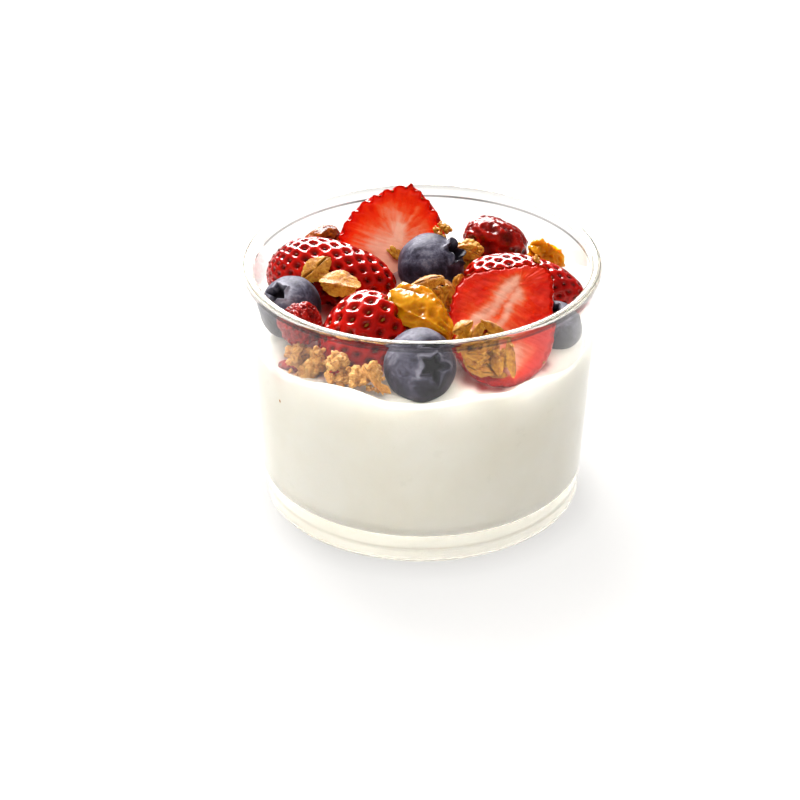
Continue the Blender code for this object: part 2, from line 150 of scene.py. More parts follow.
def ringNormals(rings):
    # outward normals of a stack of closed rings
    around = np.roll(rings, -1, axis=1) - np.roll(rings, 1, axis=1)
    along = np.gradient(rings, axis=0)
    normal = np.cross(around, along)
    normal /= np.linalg.norm(normal, axis=2, keepdims=True) + tiny
    outward = rings - rings.mean(axis=(0, 1))
    if (normal * outward).sum() < 0:
        normal = -normal
    return normal


def signedVolume(points, quads, triangles):
    corners = np.concatenate([quads[:, [0, 1, 2]], quads[:, [0, 2, 3]], triangles])
    one, two, three = points[corners[:, 0]], points[corners[:, 1]], points[corners[:, 2]]
    return (one * np.cross(two, three)).sum() / 6


def joinShapes(shapes):
    # several (points, faces, values) in one, values being a dictionary of arrays
    points, quads, triangles, values = [], [], [], {}
    start = 0
    for shapePoints, shapeFaces, shapeValues in shapes:
        points.append(shapePoints)
        if signedVolume(shapePoints - shapePoints.mean(axis=0), *shapeFaces) < 0:
            shapeFaces = [part[:, ::-1] for part in shapeFaces]
        quads.append(shapeFaces[0] + start)
        triangles.append(shapeFaces[1] + start)
        for key, value in shapeValues.items():
            values.setdefault(key, []).append(value)
        start += len(shapePoints)
    faces = (np.concatenate(quads), np.concatenate(triangles))
    return np.concatenate(points), faces, {key: np.concatenate(value) for key, value in values.items()}


def inScene(name, data):
    thing = bpy.data.objects.new(name, data)
    bpy.context.scene.collection.objects.link(thing)
    return thing


def tiltRows(rows, steps):
    # tilt from one end and angle round, for every point of a stack of rings
    tilt = np.linspace(0, math.pi, rows + 2)[1:-1]
    angles = np.arange(steps) * math.tau / steps
    return np.meshgrid(tilt, angles, indexing="ij")


def makePiece(name, points, faces, material, values=None):
    quads, triangles = faces
    if signedVolume(points - points.mean(axis=0), quads, triangles) < 0:
        quads, triangles = quads[:, ::-1], triangles[:, ::-1]
    mesh = bpy.data.meshes.new(name)
    mesh.vertices.add(len(points))
    mesh.vertices.foreach_set("co", points.astype(np.float32).ravel())
    corners = np.concatenate([quads.ravel(), triangles.ravel()])
    mesh.loops.add(len(corners))
    mesh.loops.foreach_set("vertex_index", corners.astype(np.int32))
    mesh.polygons.add(len(quads) + len(triangles))
    starts = np.concatenate([np.arange(len(quads)) * 4, len(quads) * 4 + np.arange(len(triangles)) * 3])
    mesh.polygons.foreach_set("loop_start", starts.astype(np.int32))
    mesh.update(calc_edges=True)
    for key, value in (values or {}).items():
        kind = "FLOAT_VECTOR" if value.ndim == 2 else "FLOAT"
        layer = mesh.attributes.new(key, kind, "POINT")
        layer.data.foreach_set("vector" if value.ndim == 2 else "value", value.astype(np.float32).ravel())
    mesh.shade_smooth()
    mesh.materials.append(material)
    return inScene(name, mesh)


def settle(piece, slot, *nodes):
    # the piece belongs to the one body, and stands for these frame nodes
    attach(piece, "root")
    if nodes:
        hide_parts(*nodes)


def paint(red, green, blue):
    # colour as eyes see it, 0 to 255, to the shader's own scale
    shades = []
    for shade in (red, green, blue):
        share = shade / 255
        shades.append(share / 12.92 if share <= 0.04045 else ((share + 0.055) / 1.055) ** 2.4)
    return (*shades, 1.0)


def newMaterial(name, **sockets):
    material = bpy.data.materials.new(name)
    material.use_nodes = True
    tree = material.node_tree
    shader = tree.nodes["Principled BSDF"]
    for key, value in sockets.items():
        shader.inputs[key].default_value = value
    return material, tree, shader


def addNode(tree, kind, inputs=None, **settings):
    node = tree.nodes.new(kind)
    for key, value in settings.items():
        setattr(node, key, value)
    for key, value in (inputs or {}).items():
        if isinstance(value, bpy.types.NodeSocket):
            tree.links.new(value, node.inputs[key])
        else:
            node.inputs[key].default_value = value
    return node


def stored(tree, name, kind="Fac"):
    # what the piece's own points carry
    return addNode(tree, "ShaderNodeAttribute", attribute_name=name).outputs[kind]


def place(tree):
    return addNode(tree, "ShaderNodeTexCoord").outputs["Object"]


def grain(tree, vector, scale, detail=3.0, roughness=0.55, distortion=0.0):
    node = addNode(tree, "ShaderNodeTexNoise", {
        "Vector": vector, "Scale": scale, "Detail": detail,
        "Roughness": roughness, "Distortion": distortion})
    return node.outputs["Fac"]


def stretched(tree, vector, scale):
    return addNode(tree, "ShaderNodeMapping", {"Vector": vector, "Scale": scale}).outputs["Vector"]


def cells(tree, vector, scale, feature="F1"):
    node = addNode(tree, "ShaderNodeTexVoronoi", {"Vector": vector, "Scale": scale}, feature=feature)
    return node.outputs["Distance"]


def ramp(tree, factor, *stops):
    node = addNode(tree, "ShaderNodeValToRGB", {"Fac": factor})
    marks = node.color_ramp.elements
    while len(marks) < len(stops):
        marks.new(1.0)
    for mark, (position, colour) in zip(marks, stops):
        mark.position = position
        mark.color = colour if isinstance(colour, tuple) else (colour, colour, colour, 1.0)
    return node.outputs["Color"]


def blend(tree, factor, one, other, way="MIX"):
    node = addNode(tree, "ShaderNodeMix", data_type="RGBA", blend_type=way, clamp_factor=True)
    for index, value in ((0, factor), (6, one), (7, other)):
        if isinstance(value, bpy.types.NodeSocket):
            tree.links.new(value, node.inputs[index])
        else:
            node.inputs[index].default_value = value
    return node.outputs[2]


def sums(tree, operation, one, other=0.0):
    return addNode(tree, "ShaderNodeMath", {0: one, 1: other}, operation=operation).outputs[0]


def mixed(tree, *parts):
    # weighted sum: (socket, weight) pairs
    total = None
    for socket, weight in parts:
        part = sums(tree, "MULTIPLY", socket, weight)
        total = part if total is None else sums(tree, "ADD", total, part)
    return total


def bumps(tree, height, distance, strength):
    node = addNode(tree, "ShaderNodeBump", {"Height": height, "Distance": distance, "Strength": strength})
    return node.outputs["Normal"]


def finishMaterial(tree, shader, colour, roughness, normal=None):
    tree.links.new(colour, shader.inputs["Base Color"])
    tree.links.new(roughness, shader.inputs["Roughness"])
    if normal is not None:
        tree.links.new(normal, shader.inputs["Normal"])


def nodeResult(source, name):
    # plain mesh made by the object's Geometry Nodes
    graph = bpy.context.evaluated_depsgraph_get()
    graph.update()
    mesh = bpy.data.meshes.new_from_object(source.evaluated_get(graph))
    mesh.name = name
    old = source.data
    bpy.data.objects.remove(source)
    if old.users == 0:
        bpy.data.meshes.remove(old)
    return inScene(name, mesh)


def newTree(name, inputs):
    # a Geometry Nodes tree with named inputs: {name: (socket kind, value)}
    tree = bpy.data.node_groups.new(name, "GeometryNodeTree")
    tree.interface.new_socket("Geometry", in_out="INPUT", socket_type="NodeSocketGeometry")
    tree.interface.new_socket("Geometry", in_out="OUTPUT", socket_type="NodeSocketGeometry")
    for key, (kind, value) in inputs.items():
        socket = tree.interface.new_socket(key, in_out="INPUT", socket_type=kind)
        if value is not None:
            socket.default_value = value
    return tree, tree.nodes.new("NodeGroupInput"), tree.nodes.new("NodeGroupOutput")


def runTree(source, tree, values):
    modifier = source.modifiers.new(tree.name, "NODES")
    modifier.node_group = tree
    for item in tree.interface.items_tree:
        if item.in_out == "INPUT" and item.name in values:
            modifier[item.identifier] = values[item.name]


def closeTree(tree, end, geometry, finish):
    # instances made real, smooth and given their material
    real = addNode(tree, "GeometryNodeRealizeInstances", {"Geometry": geometry})
    smooth = addNode(tree, "GeometryNodeSetShadeSmooth", {0: real.outputs[0]})
    done = addNode(tree, "GeometryNodeSetMaterial", {"Geometry": smooth.outputs[0], "Material": finish})
    tree.links.new(done.outputs["Geometry"], end.inputs["Geometry"])


glassLook = {
    "aroundSteps": 256,
    "heel": 0.0022,            # rounding under the wall
    "floorRounding": 0.0045,   # rounding inside, at the floor
    "lipHeight": 0.0024,
    "lipStart": 0,             # degrees, where the round lip leaves the wall outside
    "lipEnd": 180,
    "arcSteps": 14,
    "lipSteps": 40,
    "wallSteps": 24,
    "floorDome": 0.0004,       # how far the inner floor rises in the middle
    "tint": (0.99, 0.988, 0.98),
    "milkyBase": 0.08,         # how pale the thick base looks
    "baseTop": 0.0075,
    "shine": (0.50, 0.51, 0.53, 1.0),
    "paintedRingShade": (0.030, 0.026, 0.024, 1.0),    # painted shade: thin dark line inside, at the foot of the lip
    "ringDrop": 0.0026,
    "ringHalf": 0.00038,
    "paintedEdgeShade": (0.27, 0.245, 0.225, 1.0),     # painted shade: grey outer edge of the lip
    "edgeWidth": 0.0010,
    "edgeHalf": 0.00075,
    "paintedCrestShade": (0.13, 0.12, 0.11, 1.0),      # painted shade: thin dark line just outside the crest
    "crestDrop": 0.00030,
    "crestHalf": 0.00011,
    "shadow": (0.93, 0.93, 0.92, 1.0),          # how much light the glass lets through to its contents
    "paintedBaseLines": [             # height, half width and shade of faint dark lines round the base, painted shade
        (0.0007, 0.0006, (0.55, 0.52, 0.48, 1.0)), (0.0046, 0.0005, (0.70, 0.68, 0.64, 1.0))],
    "depthTint": (0.895, 0.892, 0.884, 1.0),    # the glass greys what is seen through much of it
    "depthDensity": 34.0,
}


def glassSizes():
    points = cadPoints("glass")
    reach = np.hypot(points[:, 0], points[:, 1])
    height = points[:, 2]
    top = height.max()
    middle = np.abs(height - top / 2) < 0.001
    heel = glassLook["heel"]
    foot = reach[height < heel * 1.2].max()
    standInner = reach[height < 0.00001].min()
    inside = height > heel * 1.2
    return {
        "rim": reach.max(), "top": top, "foot": foot,
        "slope": (reach[middle].max() - foot) / (top / 2 - heel),
        "wall": reach[middle].max() - reach[middle].min(),
        "punt": height[reach < standInner - 0.0001].min(),
        "base": height[inside][reach[inside].argmin()], "standInner": standInner,
    }


glass = glassSizes()


def wallReach(height):
    return glass["foot"] + glass["slope"] * (height - glassLook["heel"])


def innerReach(height):
    # inside radius at a height, with the rounding at the floor
    height = np.asarray(height, float)
    rounding = glassLook["floorRounding"]
    drop = np.clip(rounding - (height - glass["base"]), 0, rounding)
    straight = wallReach(height) - glass["wall"]
    return straight - rounding + np.sqrt(rounding ** 2 - drop ** 2)


def arcPoints(centre, radius, start, end, steps):
    turns = np.radians(np.linspace(start, end, steps + 1))
    return [(centre[0] + radius * math.cos(turn), centre[1] + radius * math.sin(turn)) for turn in turns]


def glassProfile():
    look = glassLook
    heel = look["heel"]
    rounding = look["floorRounding"]
    lipHalf = look["lipHeight"] / 2
    wallTop = wallReach(glass["top"] - look["lipHeight"])
    lipWidth = (glass["rim"] - (wallTop - glass["wall"])) / 2
    lipMiddle = (glass["rim"] - lipWidth, glass["top"] - lipHalf)
    floorTop = glass["base"] + rounding
    profile = [(0.0, glass["punt"])]
    for share in np.linspace(0, 1, 7):    # soft edge of the hollow under the base
        reach = glass["standInner"] * (0.93 + 0.07 * share)
        profile.append((reach, glass["punt"] * (0.5 + 0.5 * math.cos(math.pi * share))))
    profile += arcPoints((wallReach(heel) - heel, heel), heel, -90, 0, look["arcSteps"])
    lipFoot = glass["top"] - look["lipHeight"]
    profile += [(wallReach(level), level) for level in np.linspace(heel * 2, lipFoot, look["wallSteps"])]
    for out, up in arcPoints((0, 0), 1.0, look["lipStart"], look["lipEnd"], look["lipSteps"]):
        profile.append((lipMiddle[0] + lipWidth * out, lipMiddle[1] + lipHalf * up))
    for level in np.linspace(lipFoot, floorTop * 1.3, look["wallSteps"]):
        profile.append((wallReach(level) - glass["wall"], level))
    profile += arcPoints((wallReach(floorTop) - glass["wall"] - rounding, floorTop), rounding, 0, -90,
                         look["arcSteps"])
    edge = profile[-1][0]
    for share in (0.8, 0.6, 0.4, 0.2, 0.0):
        rise = look["floorDome"] * (1 - share ** 2)
        profile.append((edge * share, glass["base"] + rise))
    return profile


def turnedTree():
    # sweeps a profile round the upright axis
    tree, start, end = newTree("turnedOnAxis", {
        "Turning radius": ("NodeSocketFloat", 0.04),
        "Steps around": ("NodeSocketInt", 128),
        "Seam gap": ("NodeSocketFloat", 0.00001),
        "Finish": ("NodeSocketMaterial", None)})
    path = addNode(tree, "GeometryNodeCurvePrimitiveCircle", {
        "Resolution": start.outputs["Steps around"], "Radius": start.outputs["Turning radius"]})
    profile = addNode(tree, "GeometryNodeMeshToCurve", {"Mesh": start.outputs["Geometry"]})
    swept = addNode(tree, "GeometryNodeCurveToMesh", {
        "Curve": path.outputs["Curve"], "Profile Curve": profile.outputs["Curve"]})
    merged = addNode(tree, "GeometryNodeMergeByDistance", {
        "Geometry": swept.outputs["Mesh"], "Distance": start.outputs["Seam gap"]})
    closeTree(tree, end, merged.outputs["Geometry"], start.outputs["Finish"])
    return tree


def clearGlass():
    look = glassLook
    material, tree, shader = newMaterial("clearGlass", **{
        "Base Color": (*look["tint"], 1.0), "Metallic": 0.0, "IOR": 1.5,
        "Specular Tint": look["shine"]})
    where = place(tree)
    height = addNode(tree, "ShaderNodeSeparateXYZ", {0: where}).outputs["Z"]
    clear = ramp(tree, sums(tree, "DIVIDE", height, look["baseTop"] * 2),
                 (0.25, 1 - look["milkyBase"]), (0.60, 1.0))
    tree.links.new(clear, shader.inputs["Transmission Weight"])
    flatWay = addNode(tree, "ShaderNodeVectorMath", {0: where, 1: (1.0, 1.0, 0.0)}, operation="MULTIPLY")
    fromAxis = addNode(tree, "ShaderNodeVectorMath", {0: flatWay.outputs[0]}, operation="LENGTH")
    reach = fromAxis.outputs["Value"]
    fromRim = sums(tree, "DIVIDE", sums(tree, "SUBTRACT", glass["rim"], reach), look["edgeWidth"])
    inside = sums(tree, "LESS_THAN", reach, glass["rim"] - glass["wall"] * 0.6)
    onFoot = sums(tree, "GREATER_THAN", reach, glass["foot"] - look["heel"])

    def lineAt(level, half, *stops):
        # a soft line round the glass: 1 at that height, fading away from it
        away = sums(tree, "ABSOLUTE", sums(tree, "SUBTRACT", height, level))
        return ramp(tree, sums(tree, "DIVIDE", away, half), *stops)

    # painted shade: a thin dark ring inside, at the foot of the lip
    band = lineAt(glass["top"] - look["ringDrop"], look["ringHalf"] * 2, (0.25, 1.0), (0.5, 0.0))
    uneven = ramp(tree, grain(tree, where, 45.0, 1.0), (0.35, 0.75), (0.6, 1.0))
    paintedRing = sums(tree, "MULTIPLY", sums(tree, "MULTIPLY", band, inside), uneven)
    # painted shade: a grey band at the outer edge of the lip
    onEdge = lineAt(glass["top"] - look["lipHeight"] / 2, look["edgeHalf"], (0.3, 1.0), (1.0, 0.0))
    edge = sums(tree, "MULTIPLY", ramp(tree, fromRim, (0.0, 1.0), (0.35, 0.9), (1.0, 0.0)), onEdge)
    # painted shade: a thin dark line just outside the crest
    onCrest = lineAt(glass["top"] - look["crestDrop"], look["crestHalf"] * 2, (0.25, 1.0), (0.5, 0.0))
    paintedCrest = sums(tree, "MULTIPLY", onCrest, sums(tree, "LESS_THAN", fromRim, 1.3))
    tint = (*look["tint"], 1.0)
    for line, shade in ((edge, look["paintedEdgeShade"]), (paintedCrest, look["paintedCrestShade"]), (paintedRing, look["paintedRingShade"])):
        tint = blend(tree, line, tint, shade)
    # painted shade: faint dark lines round the base
    for level, half, shade in look["paintedBaseLines"]:
        paintedBaseLine = lineAt(level, half * 2, (0.1, 1.0), (0.5, 0.0))
        tint = blend(tree, sums(tree, "MULTIPLY", paintedBaseLine, onFoot), tint, shade)
    depth = addNode(tree, "ShaderNodeVolumeAbsorption", {
        "Color": look["depthTint"], "Density": look["depthDensity"]})
    tree.links.new(depth.outputs[0], tree.nodes["Material Output"].inputs["Volume"])
    through = addNode(tree, "ShaderNodeBsdfTransparent", {"Color": look["shadow"]})
    path = addNode(tree, "ShaderNodeLightPath")
    lit = addNode(tree, "ShaderNodeMixShader", {
        0: path.outputs["Is Shadow Ray"], 1: shader.outputs[0], 2: through.outputs[0]})
    tree.links.new(lit.outputs[0], tree.nodes["Material Output"].inputs["Surface"])
    smear = grain(tree, stretched(tree, where, (1, 1, 0.35)), 60.0, 4.0)
    rough = ramp(tree, smear, (0.45, 0.0), (0.75, 0.02))    # faint smears, else polished
    finishMaterial(tree, shader, colour=tint, roughness=rough)
    return material


def fixOutside(piece):
    # turns every face outwards if the closed shape came out inside out
    mesh = piece.data
    mesh.calc_loop_triangles()
    points = np.empty(len(mesh.vertices) * 3)
    mesh.vertices.foreach_get("co", points)
    triangles = np.empty(len(mesh.loop_triangles) * 3, np.int32)
    mesh.loop_triangles.foreach_get("vertices", triangles)
    if signedVolume(points.reshape(-1, 3), np.empty((0, 4), int), triangles.reshape(-1, 3)) < 0:
        mesh.flip_normals()


def makeGlass():
    print("glass")
    profile = glassProfile()
    rim = glass["rim"]
    mesh = bpy.data.meshes.new("glassProfile")
    points = [(reach - rim, -height, 0) for reach, height in profile]
    mesh.from_pydata(points, [(number, number + 1) for number in range(len(points) - 1)], [])
    source = inScene("glassProfile", mesh)
    material = clearGlass()
    runTree(source, turnedTree(), {
        "Turning radius": rim, "Steps around": glassLook["aroundSteps"], "Finish": material})
    piece = nodeResult(source, "glassTumbler")
    fixOutside(piece)
    settle(piece, "glass", "glass")


yogurtLook = {
    "mound": 0.0032,           # how far the middle stands above the wall line
    "shoulder": 3.5,
    "lean": 0.9,
    "belowTop": 0.0044,        # wall line below the highest point of the frame's yogurt
    "intoWall": 0.00015,       # how far it reaches into the glass, so that no gap shows
    "steps": 288,
    "rings": 96,
    "floorRows": 14,
    "sideRows": 23,
    "cling": 0.0007,           # how far it climbs what it touches
    "clingReach": 0.0011,
    "wallCling": 0.0006,
    "wallClingReach": 0.0007,
    "stainAndShadeReach": 0.0025,      # how far the red juice stain and its painted shade creep
    "search": 0.006,           # farthest topping that matters to a point
    "swells": [                # bearing from +X, half width in degrees, height
        (212, 20, -0.0036), (241, 9, 0.0004), (257, 6, -0.0010), (269, 11, -0.0016),
        (-60, 9, -0.0012), (-31, 16, -0.0030), (30, 24, 0.0010), (75, 24, 0.0008), (130, 20, 0.0026)],
    "troughs": [               # place across and back, half width, depth: low spots between the toppings
        (-0.0190, -0.0290, 0.0055, 0.0034), (-0.0110, -0.0310, 0.0050, 0.0040),
        (0.0000, -0.0320, 0.0048, 0.0040), (-0.0260, -0.0220, 0.0045, 0.0020),
        (0.0090, -0.0300, 0.0045, 0.0026), (0.0180, -0.0290, 0.0050, 0.0022),
        (-0.0015, -0.0085, 0.0060, 0.0065), (-0.0040, 0.0060, 0.0060, 0.0050),
        (-0.0165, -0.0060, 0.0055, 0.0060), (-0.0200, -0.0110, 0.0040, 0.0030),
        (-0.0100, 0.0120, 0.0050, 0.0030), (0.0030, -0.0200, 0.0050, 0.0035),
        (-0.0250, -0.0130, 0.0045, 0.0030)],
    "waves": 0.00035,
    "juiceAndShadePools": [                 # place across and back, reach, strength: red juice pools between the berries, dark enough to be painted shade there too
        (-0.0220, -0.0008, 0.0042, 1.0), (-0.0245, -0.0098, 0.0034, 0.9), (-0.0078, 0.0135, 0.0036, 0.7),
        (-0.0165, -0.0065, 0.0045, 0.9)],
}


def toppingTree(names):
    # one search tree over the surfaces of several frame nodes
    points, faces = [], []
    for name in names:
        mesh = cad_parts[name].data
        start = len(points)
        points += [tuple(vertex.co) for vertex in mesh.vertices]
        faces += [[start + corner for corner in face.vertices] for face in mesh.polygons]
    return BVHTree.FromPolygons(points, faces)


def distancesTo(names, points):
    # distance from each point to the nearest of these frame nodes
    limit = yogurtLook["search"]
    tree = toppingTree(names)
    away = np.full(len(points), limit)
    for number, point in enumerate(points):
        found = tree.find_nearest(point, limit)
        if found[0] is not None:
            away[number] = found[3]
    return away


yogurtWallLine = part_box("yogurt")[1][2] - yogurtLook["belowTop"]


def yogurtHeight(share, bearing):
    look = yogurtLook
    turn = np.radians(bearing)
    reach = share * innerReach(yogurtWallLine)
    lean = 1 + look["lean"] * share * np.sin(np.radians(bearing))
    level = yogurtWallLine + look["mound"] * (1 - share ** look["shoulder"]) * lean
    for middle, halfWidth, height in look["swells"]:
        away = (bearing - middle + 180) % 360 - 180
        level = level + height * np.exp(-(away / halfWidth) ** 2) * share ** 3
    for across, back, width, depth in look["troughs"]:
        away = np.hypot(reach * np.cos(turn) - across, reach * np.sin(turn) - back)
        level = level - depth * np.exp(-(away / width) ** 2) * (1 - share ** 14)
    return level + 0.0005 * np.sin(3 * turn + 9 * share) * share


def yogurtMaterial():
    material, tree, shader = newMaterial("plainYogurt", **{
        "Roughness": 0.34, "Specular IOR Level": 0.45, "Subsurface Weight": 0.14,
        "Subsurface Radius": (0.0035, 0.0028, 0.0022), "Subsurface Scale": 1.0, "IOR": 1.38})
    where = place(tree)
    cream = ramp(tree, grain(tree, where, 55.0, 3.0), (0.35, paint(246, 242, 229)),
                 (0.65, paint(251, 248, 238)))
    # red juice stain near the red toppings, drawn darkest in the gaps between them, where it is painted shade
    stainAndShade = stored(tree, "stainAndShade")
    stainAndShadeColour = ramp(tree, stainAndShade, (0.25, paint(224, 140, 128)), (0.75, paint(150, 24, 18)))
    colour = blend(tree, stainAndShade, cream, stainAndShadeColour)
    soft = grain(tree, where, 260.0, 4.0, 0.6)
    fine = grain(tree, where, 1400.0, 2.0)
    height = sums(tree, "ADD", soft, sums(tree, "MULTIPLY", fine, 0.2))
    normal = bumps(tree, height, 0.00025, 0.5)
    rough = ramp(tree, soft, (0.3, 0.26), (0.7, 0.42))
    finishMaterial(tree, shader, colour, rough, normal)
    return material


def makeYogurt():
    print("yogurt")
    look = yogurtLook
    bearings = np.arange(look["steps"]) * 360 / look["steps"]
    turn = np.radians(bearings)
    floor = glass["base"] - look["intoWall"]
    rows = []

    def addRow(reach, height):
        reach = np.broadcast_to(reach, turn.shape)
        height = np.broadcast_to(height, turn.shape)
        rows.append(np.stack([reach * np.cos(turn), reach * np.sin(turn), height], axis=1))

    for rise in np.linspace(0.02, 1.0, look["floorRows"]) * glassLook["floorRounding"]:
        addRow(innerReach(glass["base"] + rise) + look["intoWall"], floor + rise)
    edgeHeight = yogurtHeight(1.0, bearings)
    lowest = glass["base"] + glassLook["floorRounding"]
    for share in np.linspace(0, 1, look["sideRows"] + 1)[1:]:
        height = lowest + (edgeHeight - lowest) * share
        addRow(innerReach(height) + look["intoWall"], height)
    topRows = len(rows)
    for step in range(look["rings"] - 1, 0, -1):
        share = (step / look["rings"]) ** 0.85
        height = yogurtHeight(share, bearings)
        addRow((innerReach(height) + look["intoWall"]) * share, height)
    rings = np.array(rows)
    points = np.concatenate([rings.reshape(-1, 3), [[0, 0, floor]], [[0, 0, yogurtHeight(0.0, 0.0)]]])
    top = np.zeros(len(points), bool)
    top[topRows * look["steps"]:-2] = True
    top[-1] = True
    toppings = [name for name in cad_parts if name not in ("glass", "yogurt")]
    near = distancesTo(toppings, points[top])
    reach = np.hypot(points[top, 0], points[top, 1])
    toWall = np.clip(innerReach(points[top, 2]) - reach, 0, None)
    lift = look["cling"] * np.exp(-near / look["clingReach"])
    lift += look["wallCling"] * np.exp(-toWall / look["wallClingReach"])
    lift += look["waves"] * roughNoise(points[top], 0.011, 3, 2) * smoothStep(0, 0.004, toWall)
    points[top, 2] += lift
    edge = np.arange((topRows - 1) * look["steps"], topRows * look["steps"])
    points[edge, 2] += look["wallCling"]
    red = [name for name in toppings if name.startswith(("strawberry", "cranberry"))]
    # red juice stain round the red toppings and in the pools, its dark end painted shade in the gaps between
    # berries
    stainAndShade = np.zeros(len(points))
    nearRed = distancesTo(red, points[top])
    patchy = 0.85 + 0.3 * softNoise(points[top], 0.003, 8)
    stainAndShade[top] = 1.05 * np.exp(-(nearRed / look["stainAndShadeReach"]) ** 2) * patchy
    for across, back, size, strength in look["juiceAndShadePools"]:
        away = np.hypot(points[top, 0] - across, points[top, 1] - back)
        stainAndShade[top] = np.maximum(stainAndShade[top], strength * np.exp(-(away / size) ** 2))
    stainAndShade[top] *= 0.35 + 0.65 * smoothStep(0.0004, 0.0035, toWall)
    sideRows = slice(0, topRows * look["steps"])
    nearSide = distancesTo(red, points[sideRows])
    # the same juice stain and painted shade on the side, next to red toppings
    stainAndShade[sideRows] = 0.5 * np.exp(-nearSide / 0.0009)
    faces = ringFaces(len(rows), look["steps"])
    piece = makePiece("yogurtFill", points, faces, yogurtMaterial(), {"stainAndShade": np.clip(stainAndShade, 0, 1)})
    settle(piece, "yogurt", "yogurt")


berryLook = {
    "rows": 176,
    "steps": 256,
    "lobe": 0.025,
    "bowlDepth": 0.00042,      # the skin sinks towards each seed from rounded ridges
    "pitDepth": 0.00030,       # and once more close to it
    "pitSize": 0.36,           # pit radius, as a share of the spacing
    "packing": 0.866,          # skin for each seed, as a share of the spacing squared
    "usualSpacing": 0.0031,    # the spacing that the depths and the seed sizes are given for
    "unevenness": 0.00022,
    "seedLength": 0.00046,
    "seedWidth": 0.00028,
    "seedThickness": 0.00022,
}

berries = {
    "strawberry_left": {
        "axis": (-1.0, 0.27, 0.02), "face": (0, -0.5, 1),
        "shoulder": 0.60, "neck": 2.0, "point": 2.2, "blunt": 0.52,
        "spacing": 0.0031, "crowding": 1.6, "seedTone": 0.25, "phase": 0.0,
    },
    "strawberry_front": {
        "axis": (-0.62, -0.45, -0.30), "face": (0, -0.7, 1),
        "shoulder": 0.45, "neck": 2.6, "point": 1.8, "blunt": 0.65,
        "spacing": 0.0037, "crowding": 0.6, "seedTone": 0.50, "phase": 1.0,
    },
    "strawberry_right": {
        "axis": (1.0, -0.20, 0.05), "face": (0, -0.5, 1),
        "shoulder": 0.42, "neck": 2.4, "point": 1.8, "blunt": 0.62,
        "spacing": 0.0029, "crowding": 0.5, "seedTone": 0.15, "phase": 2.0,
    },
}

slices = {
    "strawberry_slice_right": {
        "axis": (0.07, 0.83, 0.56), "face": (0, -0.56, 0.83),
        "shoulder": 0.50, "neck": 2.0, "point": 4.0, "blunt": 0.22, "phase": 0.0,
        "spacing": 0.0029, "crowding": 0.3, "seedTone": 0.6,
        "core": ((0.65, 0.26), (-0.27, 0.82)),    # the line that the fibres leave, to the left and along
        "pale": [                  # strokes of pale flesh: to the left and along, start and end, half width
            ((0.85, 0.34), (-0.24, 0.86), 0.066), ((0.45, 0.18), (-0.30, 0.76), 0.054),
            ((0.80, 0.18), (0.25, 0.38), 0.17), ((-0.2, 0.1), (-0.3, 0.3), 0.07)],
        "paleness": 0.94, "paintedLightness": 0.80, "scallop": 0.00042, "seedShare": 0.30,
        "edgeSpacing": 0.0024, "slant": 0.22,
    },
    "strawberry_slice_back": {
        "axis": (0.27, 0.49, 0.85), "face": (0, -0.866, 0.5),
        "shoulder": 0.38, "neck": 2.6, "point": 2.6, "blunt": 0.88, "phase": 1.0,
        "spacing": 0.0027, "crowding": 0.3, "seedTone": 0.75,
        "core": ((0.08, 0.0), (0.0, 0.56)),
        "pale": [((0.14, 0.04), (0.02, 0.40), 0.21), ((0.0, 0.30), (-0.02, 0.62), 0.09)],
        "paleness": 1.20, "paintedLightness": 1.42, "scallop": 0.00105, "seedShare": 0.55,
        "edgeSpacing": 0.0031, "slant": 0.0,
    },
}


def berryTaper(along, look):
    shoulder = look["shoulder"]
    early = np.clip((shoulder - along) / shoulder, 0, 1)
    late = np.clip((along - shoulder) / (1 - shoulder), 0, 1)
    rising = np.clip(1 - early ** look["neck"], 0, 1) ** (1 / look["neck"])
    falling = np.clip(1 - late ** look["point"], 0, 1) ** look["blunt"]
    return np.where(along < shoulder, rising, falling)


def berryPoint(angle, along, half, look):
    angle, along = np.broadcast_arrays(angle, along)
    share = berryTaper(along, look)
    lobe = 1 + berryLook["lobe"] * np.cos(3 * angle + look["phase"]) * np.sin(math.pi * along)
    return np.stack([half[0] * share * lobe * np.cos(angle), half[1] * share * lobe * np.sin(angle),
                     half[2] * (2 * along - 1)], axis=-1)


def evenRows(half, look, count):
    # heights along the berry at even steps over its skin
    along = 0.5 - 0.5 * np.cos(np.linspace(0, math.pi, 3001))
    reach = berryTaper(along, look) * (half[0] + half[1]) / 2
    steps = np.hypot(np.diff(reach), np.diff(along) * 2 * half[2])
    travelled = np.concatenate([[0], np.cumsum(steps)])
    return np.interp(np.linspace(0, travelled[-1], count + 2)[1:-1], travelled, along), travelled[-1]


def pitPlaces(half, look, spacing):
    # even spiral of seed places over the skin, crowded towards the tip
    along = np.linspace(0.001, 0.999, 2000)
    reach = berryTaper(along, look) * (half[0] + half[1]) / 2
    slope = np.hypot(np.gradient(reach, along), 2 * half[2])
    crowd = 1 + look["crowding"] * smoothStep(0.55, 1.0, along) ** 1.5
    area = np.cumsum(math.tau * reach * slope * crowd) * (along[1] - along[0])
    count = int(area[-1] / (berryLook["packing"] * spacing ** 2))
    wanted = (np.arange(count) + 0.5) / count * area[-1]
    places = np.interp(wanted, area, along)
    angles = (np.arange(count) * goldenTurn + look["phase"]) % math.tau
    sizes = 1 / np.sqrt(np.interp(places, along, crowd))
    return angles, places, sizes


def pitFrames(angles, places, half, look):
    # point, outward direction and direction towards the tip at each seed place
    here = berryPoint(angles, places, half, look)
    side = berryPoint(angles + 0.01, places, half, look) - here
    on = berryPoint(angles, np.clip(places + 0.004, 0, 0.9999), half, look) - here
    out = np.cross(side, on)
    out /= np.linalg.norm(out, axis=1, keepdims=True) + tiny
    flip = np.sign((out * here).sum(axis=1))
    out *= np.where(flip == 0, 1, flip)[:, None]
    on /= np.linalg.norm(on, axis=1, keepdims=True) + tiny
    return here, out, on


